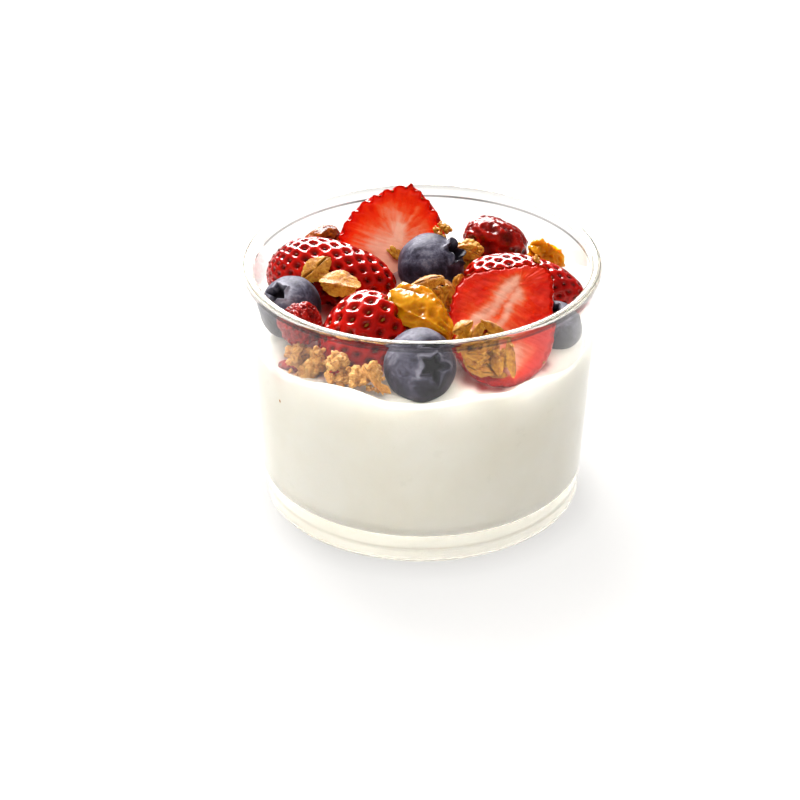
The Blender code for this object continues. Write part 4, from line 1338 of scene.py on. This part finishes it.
def driedShape(half, fruit):
    # wrinkled skin round a blunt ellipsoid, drawn in the fruit's own directions
    look = driedLook
    tiltGrid, angleGrid = tiltRows(look["rows"], look["steps"])
    bulge = np.sin(tiltGrid) ** look["bluntness"]
    fold = np.cos(3 * angleGrid + fruit["seed"] + 0.9 * np.cos(tiltGrid))
    swell = 0.94 + 0.07 * fold
    level = -np.cos(tiltGrid)
    if fruit["sides"]:    # flat sides that turn slowly along the fruit
        corner = math.tau / fruit["sides"]
        turned = (angleGrid + fruit["twist"] * level + 0.35 * np.sin(2 * angleGrid + fruit["seed"])) % corner
        swell = swell * (0.25 + 0.75 * math.cos(corner / 2) / np.cos(turned - corner / 2))
    wide = 1 + fruit["fan"] * level
    flatter = 1 - 0.8 * fruit["fan"] * level
    rings = np.stack([half[0] * bulge * swell * wide * np.cos(angleGrid),
                      half[1] * bulge * swell * flatter * np.sin(angleGrid), half[2] * level], axis=-1)
    normals = ringNormals(rings).reshape(-1, 3)
    flat = rings.reshape(-1, 3)
    scale = fruit["scale"]
    drawn = flat * np.array([1, 1, look["stretch"]])    # folds run along the fruit
    bent = drawn + 0.0006 * np.stack([softNoise(flat, 0.004, seed) for seed in (31, 32, 33)], axis=1)
    lengthwise = ridgeNoise(bent, scale * 0.8, fruit["seed"] + 10)
    crossed = ridgeNoise(flat + 0.3 * bent, scale, fruit["seed"] + 20)
    small = ridgeNoise(flat, scale * 0.42, fruit["seed"] + 30)
    relief = fruit["fold"] * lengthwise + fruit["crumple"] * (0.65 * crossed + 0.35 * small)
    if fruit["pleats"]:
        pleat = np.abs(np.sin(fruit["pleats"] * angleGrid / 2 + 1.3 * level + 0.5 * np.sin(3 * level)))
        farEnd = smoothStep(-0.15, 0.85, level.reshape(-1))
        relief += look["pleatDepth"] * (pleat.reshape(-1) ** 0.7 - 0.5) * farEnd
    if fruit["grains"]:
        count = int(look["grainCount"] * (half.mean() / look["usualHalf"]) ** 2)
        order = np.arange(count)
        level = 1 - 2 * (order + 0.5) / count
        turn = order * goldenTurn
        around = np.sqrt(1 - level ** 2)
        knobs = np.stack([around * np.cos(turn), around * np.sin(turn), level], axis=1) * half
        _, near, nextNear = nearestOf(flat, knobs)
        relief += fruit["grains"] * smoothStep(0.0, 1.0, (nextNear - near) / (scale * 0.6))
    # height: low in the folds, high on their tops; the material draws the folds darker as painted shade
    height = (relief - relief.min()) / (relief.max() - relief.min())
    flat = flat + normals * (relief - relief.mean())[:, None]
    ends = np.array([[0, 0, -half[2]], [0, 0, half[2]]])
    points = np.concatenate([flat, ends])
    # drawn back to the half sizes that the frame gives
    points *= half / np.abs(points).max(axis=0) * np.array(fruit["plump"])
    return points, ringFaces(look["rows"], look["steps"]), {"height": np.concatenate([height, [0.5, 0.5]])}


cranberryBits = [
    # place and half size in mm, direction
    ((14.4, -28.0, 55.3), (1.0, 0.8, 1.5), (1.0, 0.2, 0.3)),
    ((-19.0, -30.6, 47.4), (0.8, 0.6, 1.1), (1.0, 0.2, 0.3))]


def makeDried():
    made = {kind: driedMaterial(kind) for kind in driedKinds}
    for name, own in driedFruit.items():
        print(name)
        fruit = {**plainDried, **own}
        spot = ownFrame(name, fruit["axis"], fruit["face"])
        spot["middle"] = spot["middle"] + np.array(fruit["shift"])
        points, faces, values = driedShape(spot["half"], fruit)
        slot = "raisin" if name.startswith("raisin") else "cranberry"
        piece = makePiece(name + "_skin", intoPlace(points, spot), faces, made[fruit["kind"]], values)
        settle(piece, slot, name)
    looseBits("cranberryBits", "cranberry", made["red"], cranberryBits, 400, 0.12, 0.6)


oatLook = {
    "flakeSteps": 96,
    "flakeRows": 30,
    "thin": 0.75,
    "thinning": 0.60,          # how much thinner a flake is at its rim
    "taper": 0.27,             # how much narrower at its ends
    "ridgeReach": 0.38,
    "splitReach": 0.075,
    "cup": -0.0007,            # flakes hollow on their inner side
    "bend": 0.0006,
    "looseBend": 0.0006,
    "lumpSteps": 84,
    "lumpRows": 52,
    "ragged": 0.085,           # raggedness of a flake's rim, in shares of its width
    "looseThick": 0.55,        # the two single flakes are drawn thinner than their box, then fitted
    "lumpCore": 0.60,
    "knobPlace": (0.48, 0.74),
    "knobSize": (0.20, 0.40),
    "knobBlend": 14,           # the higher, the sharper the creases between knobs
    "bitSize": (0.00042, 0.00095),
    "fleck": 0.00010,
    "rib": 0.00005,
    "wave": 0.00010,
}

flakes = {
    # roof: height of the middle line over the edges; crease: depth of the split along it
    "oat_flake_left": {
        "axis": (0.75, 0.35, 0.50), "face": (-0.1, -0.70, 0.75), "roof": 0.0006, "crease": 0.0010,
        "offset": 0.15, "seed": 2},
    "oat_flake_middle": {
        "axis": (0.95, -0.1, -0.05), "face": (0.1, -0.6, 0.8), "roof": 0.0014, "crease": 0.0,
        "offset": -0.25, "seed": 7},
}


def oatMaterial(name, dark, middle, bright, shine):
    material, tree, shader = newMaterial(name, **{
        "Specular IOR Level": 0.25, "Coat Weight": shine, "Coat Roughness": 0.25,
        "Subsurface Weight": 0.12, "Subsurface Radius": (0.0016, 0.0008, 0.0003), "Subsurface Scale": 1.0})
    where = place(tree)
    broad = grain(tree, where, 300.0, 4.0, 0.6)
    speckle = grain(tree, where, 2300.0, 4.0, 0.7)
    height = stored(tree, "height")
    # colour depth: own tone and speckle, and painted shade from the height: darker in hollows, paler on tops
    depth = mixed(tree, (broad, 0.38), (height, 0.55), (sums(tree, "SUBTRACT", speckle, 0.25), 0.55))
    colour = ramp(tree, depth, (0.30, paint(*dark)), (0.52, paint(*middle)), (0.76, paint(*bright)))
    # painted shade: the split along a flake drawn dark
    paintedCreaseShade = blend(tree, stored(tree, "crease"), colour, paint(96, 50, 10))
    rough = ramp(tree, speckle, (0.3, 0.42), (0.7, 0.72))
    finishMaterial(tree, shader, paintedCreaseShade, rough, bumps(tree, speckle, 0.00026, 0.9))
    return material


def flakeShape(half, roof, crease, offset, seed, cup=0.0, bend=0.0):
    # a rolled oat: ragged thin rim, ribs along it, a split or a ridge near the middle
    look = oatLook
    steps, rows = look["flakeSteps"], look["flakeRows"]
    tiltGrid, angleGrid = tiltRows(rows, steps)
    spread = np.sin(tiltGrid) ** 0.5
    rim = np.stack([np.cos(angleGrid), np.sin(angleGrid), np.full(angleGrid.shape, float(seed))], axis=-1)
    rim = rim.reshape(-1, 3)
    ragged = 0.10 * softNoise(rim, 0.9, seed) + look["ragged"] * roughNoise(rim, 0.22, seed + 1, 2)
    outline = 1 + 0.05 * np.cos(2 * angleGrid + seed) + ragged.reshape(angleGrid.shape)
    across = spread * np.cos(angleGrid) * outline
    along = spread * np.sin(angleGrid) * outline
    across = across * (1 - look["taper"] * np.abs(along) ** 2.2)
    reach = across ** 2 + along ** 2
    thick = half[1] * np.cos(tiltGrid) * (1 - look["thinning"] * np.clip(reach, 0, 1))
    bent = across + 0.10 * np.sin(2.2 * along + seed)
    ridge = np.exp(-np.abs(bent - offset) / look["ridgeReach"])
    split = np.exp(-((bent - offset) / look["splitReach"]) ** 2) * smoothStep(1.0, 0.72, np.abs(along))
    lift = roof * (ridge - 0.5) - crease * split - bend * along ** 2 + cup * across ** 2
    flat = np.stack([across * half[0], thick + lift, along * half[2]], axis=-1).reshape(-1, 3)
    rough = roughNoise(flat, 0.0009, seed + 40, 3)
    ribs = softNoise(flat * np.array([1, 1, 0.16]), 0.00042, seed + 50)
    wave = softNoise(flat, 0.0022, seed + 60)
    flat[:, 1] += look["fleck"] * rough + look["rib"] * ribs + look["wave"] * wave
    # height for the colour: tops and the thin rim paler, hollows darker as painted shade
    height = 0.50 + 0.26 * rough + 0.12 * ribs + 0.14 * wave + 0.26 * (reach.reshape(-1) - 0.5)
    # where the split runs, for its painted shade
    mark = np.clip(split.reshape(-1) * (crease > 0), 0, 1)
    ends = np.array([flat[:steps].mean(axis=0), flat[-steps:].mean(axis=0)])
    points = np.concatenate([flat, ends])
    values = {"height": np.concatenate([np.clip(height, 0, 1), [0.5, 0.5]]),
              "crease": np.concatenate([mark, [0, 0]])}
    return points, ringFaces(rows, steps), values


def lumpShape(half, seed, knobs=6, rough=0.20, detail=1.0):
    # a craggy lump: knobs pressed together, then roughened
    look = oatLook
    steps = max(16, int(look["lumpSteps"] * detail))
    rows = max(10, int(look["lumpRows"] * detail))
    tiltGrid, angleGrid = tiltRows(rows, steps)
    ball = np.stack([np.sin(tiltGrid) * np.cos(angleGrid), np.sin(tiltGrid) * np.sin(angleGrid),
                     -np.cos(tiltGrid)], axis=-1).reshape(-1, 3)
    ball = np.concatenate([ball, [[0, 0, -1]], [[0, 0, 1]]])
    draw = np.random.default_rng(seed)
    blendBy = look["knobBlend"]
    reach = np.full(len(ball), look["lumpCore"]) ** blendBy
    for number in range(knobs):
        level = 1 - 2 * (number + 0.5) / knobs
        turn = number * goldenTurn + draw.uniform(-0.5, 0.5)
        flat = math.sqrt(1 - level ** 2)
        middle = np.array([flat * math.cos(turn), flat * math.sin(turn), level])
        middle = middle * draw.uniform(*look["knobPlace"])
        size = draw.uniform(*look["knobSize"])
        forward = ball @ middle
        inside = forward ** 2 - middle @ middle + size ** 2
        far = np.where((inside > 0) & (forward > 0), forward + np.sqrt(np.clip(inside, 0, None)), 0)
        reach += far ** blendBy
    reach = reach ** (1 / blendBy)
    points = ball * reach[:, None]
    crag = roughNoise(points, 0.20, seed + 3, 3)
    pitted = ridgeNoise(points, 0.10, seed + 5)
    points = points * (1 + rough * (0.6 * crag + 0.35 * pitted))[:, None]
    # height for the colour: knobs paler, the creases between them darker as painted shade
    height = np.clip(0.46 + 0.34 * crag + 0.20 * pitted + 1.1 * (reach - reach.mean()), 0, 1)
    points = points / np.abs(points).max(axis=0) * half
    return points, ringFaces(rows, steps), {"height": height, "crease": np.zeros(len(points))}


def turnShape(shape, turn, middle):
    points, faces, values = shape
    return points @ turn.T + middle, faces, values


clusters = {
    # places and directions: to the left, outward and up, seen from outside
    # lumps: place in shares of the box, half size in shares, knobs
    # flakes: place, direction along, direction faced, then in mm length, width, thickness, crease, roof
    "oat_cluster_centre": {
        "bearing": 270, "seed": 11, "tone": "honey", "tipping": 0.25, "spread": 1.04, "bits": 30,
        "bitReach": 0.78,
        "lumps": [
            ((-0.15, -0.35, -0.40), (0.62, 0.60, 0.52), 14), ((-0.45, -0.1, -0.05), (0.32, 0.4, 0.4), 10),
            ((0.25, 0.05, 0.20), (0.44, 0.50, 0.46), 12), ((-0.20, 0.20, 0.30), (0.36, 0.46, 0.40), 10)],
        "flakes": [
            ((0.30, 0.35, 0.84), (-0.97, -0.12, 0.21), (0.10, 0.50, 0.85), 7.4, 4.0, 1.2, 0.50, 0.4),
            ((0.25, 0.60, 0.50), (-0.95, 0.0, 0.10), (0.0, 0.80, 0.60), 5.4, 3.0, 1.0, 0.30, 0.4),
            ((-0.60, 0.35, 0.40), (-0.50, 0.39, -0.75), (-0.45, 0.75, 0.50), 6.4, 3.0, 1.1, 0.25, 0.6),
            ((-0.31, 0.60, 0.10), (0.24, 0.47, -0.85), (-0.20, 0.85, 0.50), 5.0, 3.0, 1.1, 0.0, 1.1),
            ((0.02, 0.60, 0.20), (-0.80, 0.29, -0.53), (0.25, 0.80, 0.55), 4.2, 2.6, 1.0, 0.0, 0.5),
            ((-0.55, 0.60, -0.12), (-0.45, 0.43, -0.78), (0.30, 0.85, 0.40), 4.2, 2.4, 0.9, 0.0, 0.8),
            ((-0.74, 0.05, 0.66), (-0.40, 0.0, 0.90), (-0.50, 0.60, 0.60), 4.0, 2.6, 0.9, 0.0, 0.6)],
    },
    "granola_right": {
        "bearing": 280, "seed": 12, "tone": "honey", "tipping": 0.35, "spread": 1.04, "bits": 44,
        "bitReach": 0.78,
        "lumps": [
            ((0.10, -0.30, -0.10), (0.55, 0.50, 0.56), 14), ((0.60, 0.0, 0.42), (0.30, 0.40, 0.32), 12),
            ((-0.05, 0.0, 0.46), (0.36, 0.44, 0.34), 12), ((0.45, 0.25, -0.15), (0.40, 0.50, 0.42), 14),
            ((-0.30, 0.20, -0.30), (0.40, 0.50, 0.44), 14), ((0.20, 0.20, -0.58), (0.40, 0.46, 0.30), 12)],
        "flakes": [
            ((0.74, 0.15, 0.82), (-0.89, -0.10, 0.45), (0.35, 0.65, 0.70), 5.2, 3.0, 1.1, 0.25, 0.5),
            ((0.80, 0.35, 0.50), (-0.44, -0.38, 0.81), (0.50, 0.80, 0.30), 4.4, 2.8, 1.0, 0.0, 0.8),
            ((0.38, 0.40, 0.74), (-0.55, -0.33, 0.77), (0.0, 0.75, 0.60), 4.6, 2.8, 1.2, 0.0, 1.2),
            ((-0.22, 0.30, 0.82), (-0.81, 0.39, -0.44), (-0.10, 0.60, 0.80), 6.8, 2.8, 1.1, 0.20, 0.6),
            ((0.41, 0.70, 0.12), (-0.96, 0.25, -0.14), (0.10, 0.90, 0.35), 5.4, 2.6, 1.1, 0.20, 0.5),
            ((-0.20, 0.70, -0.22), (-0.03, 0.49, -0.87), (0.15, 0.85, 0.45), 6.4, 2.6, 1.2, 0.0, 1.1),
            ((-0.68, 0.48, -0.18), (-0.06, 0.40, -0.90), (-0.55, 0.80, 0.30), 9.4, 2.6, 1.2, 0.25, 0.5),
            ((0.34, 0.66, -0.46), (-0.92, 0.30, -0.24), (0.10, 0.95, 0.10), 6.2, 3.0, 1.2, 0.30, 0.4),
            ((0.03, 0.60, 0.34), (-0.76, -0.21, 0.62), (-0.10, 0.85, 0.50), 4.4, 2.6, 1.0, 0.0, 0.9),
            ((0.74, 0.46, -0.04), (-0.30, 0.20, -0.90), (0.60, 0.80, 0.10), 4.8, 2.4, 1.0, 0.0, 0.6),
            ((-0.20, 0.56, -0.74), (-0.95, 0.10, -0.20), (0.0, 0.90, -0.20), 4.6, 2.2, 1.0, 0.0, 0.5)],
    },
    "granola_back": {
        "bearing": 270, "seed": 13, "tone": "honey", "bits": 16,
        "lumps": [((0.0, 0.0, -0.05), (0.94, 0.90, 0.88), 16)],
        "flakes": [
            ((-0.30, 0.55, 0.30), (-0.9, 0.0, -0.45), (-0.1, 0.75, 0.65), 5.6, 3.2, 1.0, 0.2, 0.5),
            ((0.40, 0.40, 0.45), (-0.8, 0.0, 0.5), (0.2, 0.70, 0.70), 4.4, 3.0, 1.0, 0.0, 0.8)],
    },
    "granola_back_small": {
        "bearing": 270, "seed": 14, "tone": "honey",
        "lumps": [((-0.55, 0.0, 0.50), (0.46, 0.6, 0.36), 8), ((0.10, 0.0, 0.02), (0.60, 0.7, 0.34), 9),
                  ((0.45, 0.0, -0.30), (0.50, 0.7, 0.36), 8), ((-0.25, 0.0, -0.55), (0.60, 0.7, 0.42), 9)],
        "flakes": [],
    },
    "granola_front_left": {
        "bearing": 221, "seed": 15, "tone": "toast", "grow": 1.16, "shift": (0.0004, -0.0004, 0.0008),
        "lumps": [((0.42, 0.0, 0.34), (0.50, 0.90, 0.56), 16), ((-0.55, 0.0, 0.80), (0.26, 0.50, 0.32), 8),
                  ((-0.60, 0.0, 0.36), (0.36, 0.85, 0.42), 12), ((-0.08, 0.0, -0.30), (0.48, 0.80, 0.50), 14),
                  ((0.95, 0.0, 0.05), (0.18, 0.35, 0.20), 6)],
        "flakes": [
            ((0.30, 0.60, 0.45), (-0.80, 0.1, 0.45), (0.20, 0.80, 0.50), 4.4, 2.8, 0.9, 0.0, 0.6),
            ((-0.10, 0.60, -0.10), (-0.40, 0.1, -0.90), (0.10, 0.90, 0.30), 4.0, 2.6, 0.9, 0.0, 0.6)],
    },
    "granola_front_middle": {
        "bearing": 237, "seed": 16, "tone": "toast", "grow": 1.12, "shift": (0.0008, -0.0005, 0.0011),
        "lumps": [((0.10, 0.0, 0.42), (0.80, 0.95, 0.58), 18), ((0.0, 0.0, -0.34), (0.86, 0.92, 0.56), 16)],
        "flakes": [((0.15, 0.70, 0.40), (-0.70, 0.1, 0.60), (0.10, 0.85, 0.50), 4.2, 3.0, 0.9, 0.2, 0.5)],
    },
    "granola_front_right": {
        "bearing": 249, "seed": 17, "tone": "toast", "bitReach": 0.52, "grow": 1.12,
        "shift": (0.0008, -0.0003, 0.0010),
        "lumps": [((0.58, 0.0, 0.10), (0.46, 0.90, 0.62), 16), ((-0.05, -0.2, 0.30), (0.40, 0.70, 0.50), 12)],
        "flakes": [
            ((-0.20, 0.60, 0.22), (-0.62, 0.10, -0.78), (-0.10, 0.95, 0.20), 7.4, 1.9, 1.0, 0.0, 0.6),
            ((-0.02, 0.45, 0.55), (-0.75, 0.0, -0.60), (-0.05, 0.90, 0.40), 5.4, 2.8, 0.9, 0.2, 0.4),
            ((0.05, 0.40, 0.86), (-0.50, 0.0, 0.80), (0.0, 0.80, 0.60), 4.0, 2.6, 0.9, 0.0, 0.6),
            ((-0.55, 0.50, -0.10), (-0.90, 0.0, -0.50), (-0.1, 0.90, 0.40), 3.6, 1.8, 0.8, 0.0, 0.4)],
    },
}


plainCluster = {"tipping": 0.0, "spread": 1.0, "bits": 9, "bitReach": 0.70, "grow": 1.0, "shift": (0, 0, 0)}

crumbs = [
    # place and half size in mm, direction
    ((-6.3, 17.0, 51.9), (1.5, 1.1, 2.3), (-1.0, 0.5, 0.8)),
    ((26.3, 7.0, 55.4), (0.9, 0.8, 1.3), (-0.7, 0.5, 0.8)),
    ((3.4, 16.3, 56.0), (0.8, 0.8, 1.1), (-0.4, 0.5, 0.8)),
    ((-31.1, -20.5, 34.0), (0.30, 0.30, 0.45), (-0.1, 0.5, 0.8))]


def looseBits(name, slot, material, bits, seed, rough, detail):
    # small single lumps, all in one piece
    print(name)
    shapes = []
    for number, (middle, size, axis) in enumerate(bits):
        shape = lumpShape(np.array(size) / 1000, seed + number, 8, rough, detail)
        shapes.append(turnShape(shape, ownAxes(axis, (0, -0.8, 0.5)), np.array(middle) / 1000))
    points, faces, values = joinShapes(shapes)
    settle(makePiece(name, points, faces, material, values), slot)


def clusterShape(cluster, half):
    # lumps, flakes and small bits pressed together
    look = oatLook
    draw = np.random.default_rng(cluster["seed"])
    firstSeed = cluster["seed"] * 10
    shapes = []
    for number, (middle, size, knobs) in enumerate(cluster["lumps"]):
        shape = lumpShape(half * size, firstSeed + number, knobs)
        shapes.append(turnShape(shape, np.eye(3), half * middle))
    for number, (middle, along, faced, length, width, thick, crease, roof) in enumerate(cluster["flakes"]):
        size = np.array([width, thick * look["thin"], length]) / 2000    # half sizes, from mm
        shape = flakeShape(size, roof / 1000, crease / 1000, 0.1, firstSeed + number, look["cup"],
                           look["bend"])
        tipped = np.array(faced) + cluster["tipping"] * draw.uniform(-1, 1, 3)
        shapes.append(turnShape(shape, ownAxes(along, tipped), half * middle * cluster["spread"]))
    for number in range(cluster["bits"]):
        lean = unit(draw.normal(size=3) + np.array([0, 0.7, 0.2]))
        size = draw.uniform(*look["bitSize"]) * draw.uniform(0.7, 1.3, 3)
        shape = lumpShape(size, firstSeed + 50 + number, 7, detail=0.32)
        turn = ownAxes(draw.normal(size=3), lean)
        shapes.append(turnShape(shape, turn, half * lean * cluster["bitReach"] * draw.uniform(0.8, 1.1)))
    return joinShapes(shapes)


def makeOats():
    look = oatLook
    oats = {"honey": oatMaterial("honeyOats", (114, 54, 2), (181, 109, 17), (217, 156, 48), 0.22),
            "toast": oatMaterial("toastedOats", (118, 64, 14), (186, 122, 50), (222, 166, 90), 0.10)}
    for name, flake in flakes.items():
        print(name)
        spot = ownFrame(name, flake["axis"], flake["face"])
        half = spot["half"] * np.array([1.0, look["looseThick"], 1.0])
        points, faces, values = flakeShape(half, flake["roof"], flake["crease"], flake["offset"],
                                           flake["seed"], bend=look["looseBend"])
        points[:, 1] *= spot["half"][1] / np.abs(points[:, 1]).max()
        piece = makePiece(name + "_flake", intoPlace(points, spot), faces, oats["honey"], values)
        settle(piece, "oat", name)
    for name, own in clusters.items():
        print(name)
        cluster = {**plainCluster, **own}
        bearing = math.radians(cluster["bearing"])
        spot = ownFrame(name, (0, 0, 1), (math.cos(bearing), math.sin(bearing), 0))
        spot["middle"] = spot["middle"] + np.array(cluster["shift"])
        points, faces, values = clusterShape(cluster, spot["half"] * cluster["grow"])
        piece = makePiece(name + "_cluster", intoPlace(points, spot), faces, oats[cluster["tone"]], values)
        settle(piece, "oat", name)
    looseBits("looseCrumbs", "oat", oats["honey"], crumbs, 300, 0.20, 0.4)


stageLook = {
    "floorSize": 6.0,
    "floorShade": (0.17, 0.166, 0.16, 1.0),
    "floorGlow": (1.0, 0.992, 0.98, 1.0),
    "floorLightAndShadow": [                  # metres out from the middle, strength: painted light under the base, a painted contact shadow round it, fading far out
        (0.0, 1.46), (0.029, 1.46), (0.0335, 0.60), (0.044, 0.78), (0.07, 0.84), (0.15, 0.86),
        (0.32, 0.82), (0.45, 0.50), (0.9, 0.05)],
    "floorGap": 0.0002,
    "distance": 0.700,
    "elevation": 28.9,
    "aim": (0.0, 0.0, 0.030),
    "lens": 135.5,
    "sensor": 36.0,
    "shift": (-0.0276, -0.0364),
    "sky": 0.22,
    "skyDim": 0.38,            # how much darker the right side is than the left
    "horizonShade": 0.10,
    "lamps": [
        # name, place, size across and along, power, colour, whether it lights, whether it shows in gloss
        ("backSoftbox", (-0.16, 0.42, 0.55), (0.34, 0.22), 9.0, (1, 1, 1), True, True),
        ("backWindow", (-0.10, 0.60, 0.44), (0.60, 0.46), 16.0, (1, 1, 1), False, True),
        ("frontFill", (-0.62, -0.46, 0.40), (0.40, 0.40), 1.20, (1, 0.99, 0.97), True, False),
        ("topFill", (0.05, -0.30, 0.70), (0.50, 0.50), 2.7, (1, 0.99, 0.97), True, False),
        ("rightFill", (0.50, -0.42, 0.22), (0.40, 0.40), 0.55, (1, 0.94, 0.85), True, False),
    ],
    "lampAim": (0.0, 0.0, 0.04),
}


def makeStage():
    print("stage")
    look = stageLook
    material, tree, shader = newMaterial("paleFloor", **{
        "Base Color": look["floorShade"], "Roughness": 0.9, "Specular IOR Level": 0.0,
        "Emission Color": look["floorGlow"]})
    distance = addNode(tree, "ShaderNodeVectorMath", {0: place(tree)}, operation="LENGTH").outputs["Value"]
    floorLightAndShadow = ramp(tree, distance, *look["floorLightAndShadow"])    # painted light and shadow on the floor: evens out its brightness, glows bright under the base, leaves a painted contact shadow round it
    tree.links.new(floorLightAndShadow, shader.inputs["Emission Strength"])
    half = look["floorSize"] / 2
    mesh = bpy.data.meshes.new("floor")
    low = -look["floorGap"]
    mesh.from_pydata([(-half, -half, low), (half, -half, low), (half, half, low), (-half, half, low)], [],
                     [(0, 1, 2, 3)])
    mesh.materials.append(material)
    floor = inScene("floor", mesh)
    world = bpy.data.worlds.new("studio")
    world.use_nodes = True
    sky = world.node_tree
    heading = addNode(sky, "ShaderNodeTexCoord").outputs["Generated"]
    parts = addNode(sky, "ShaderNodeSeparateXYZ", {0: heading})
    sideways = addNode(sky, "ShaderNodeMapRange", {
        "Value": parts.outputs["X"], "From Min": -1.0, "From Max": 1.0, "To Min": 0.0, "To Max": 1.0})
    dim = 1 - look["skyDim"]
    dimmed = (dim, dim * 0.97, dim * 0.92, 1.0)
    across = ramp(sky, sideways.outputs[0], (0.1, (1.0, 1.0, 1.0, 1.0)), (0.9, dimmed))
    dark = look["horizonShade"]
    upward = ramp(sky, parts.outputs["Z"], (0.10, dark), (0.42, 1.0))    # a darker line low round the room
    shade = blend(sky, 1.0, across, upward, "MULTIPLY")
    ground = sky.nodes["Background"]
    sky.links.new(shade, ground.inputs["Color"])
    ground.inputs["Strength"].default_value = look["sky"]
    bpy.context.scene.world = world
    for name, spot, (wide, deep), power, colour, lights, inGloss in look["lamps"]:
        lamp = bpy.data.lights.new(name, "AREA")
        lamp.shape = "RECTANGLE"
        lamp.size = wide
        lamp.size_y = deep
        lamp.energy = power
        lamp.color = colour
        holder = inScene(name, lamp)
        holder.visible_diffuse = lights
        holder.visible_glossy = inGloss
        back = unit(np.array(spot) - np.array(look["lampAim"]))
        holder.rotation_mode = "QUATERNION"
        holder.rotation_quaternion = Vector(back).to_track_quat("Z", "Y")
        holder.location = spot
    tilt = math.radians(look["elevation"])
    lens = bpy.data.cameras.new("camera")
    lens.lens = look["lens"]
    lens.sensor_width = look["sensor"]
    lens.shift_x, lens.shift_y = look["shift"]
    lens.dof.use_dof = False
    camera = inScene("camera", lens)
    aim = Vector(look["aim"])
    camera.location = aim + Vector((0, -math.cos(tilt), math.sin(tilt))) * look["distance"]
    camera.rotation_euler = (math.pi / 2 - tilt, 0, 0)
    scene = bpy.context.scene
    scene.camera = camera
    scene.view_settings.view_transform = "Standard"
    scene.cycles.max_bounces = 24
    scene.cycles.glossy_bounces = 12
    scene.cycles.transmission_bounces = 24


makeGlass()
makeYogurt()
strawberrySkin = skinMaterial()
seedHusk = seedMaterial()
seedsOnSkin = seedTree()
makeBerries(strawberrySkin, seedHusk, seedsOnSkin)
makeSlices(seedHusk, seedsOnSkin)
makeBlueberries()
makeDried()
makeOats()
makeStage()

print("done")
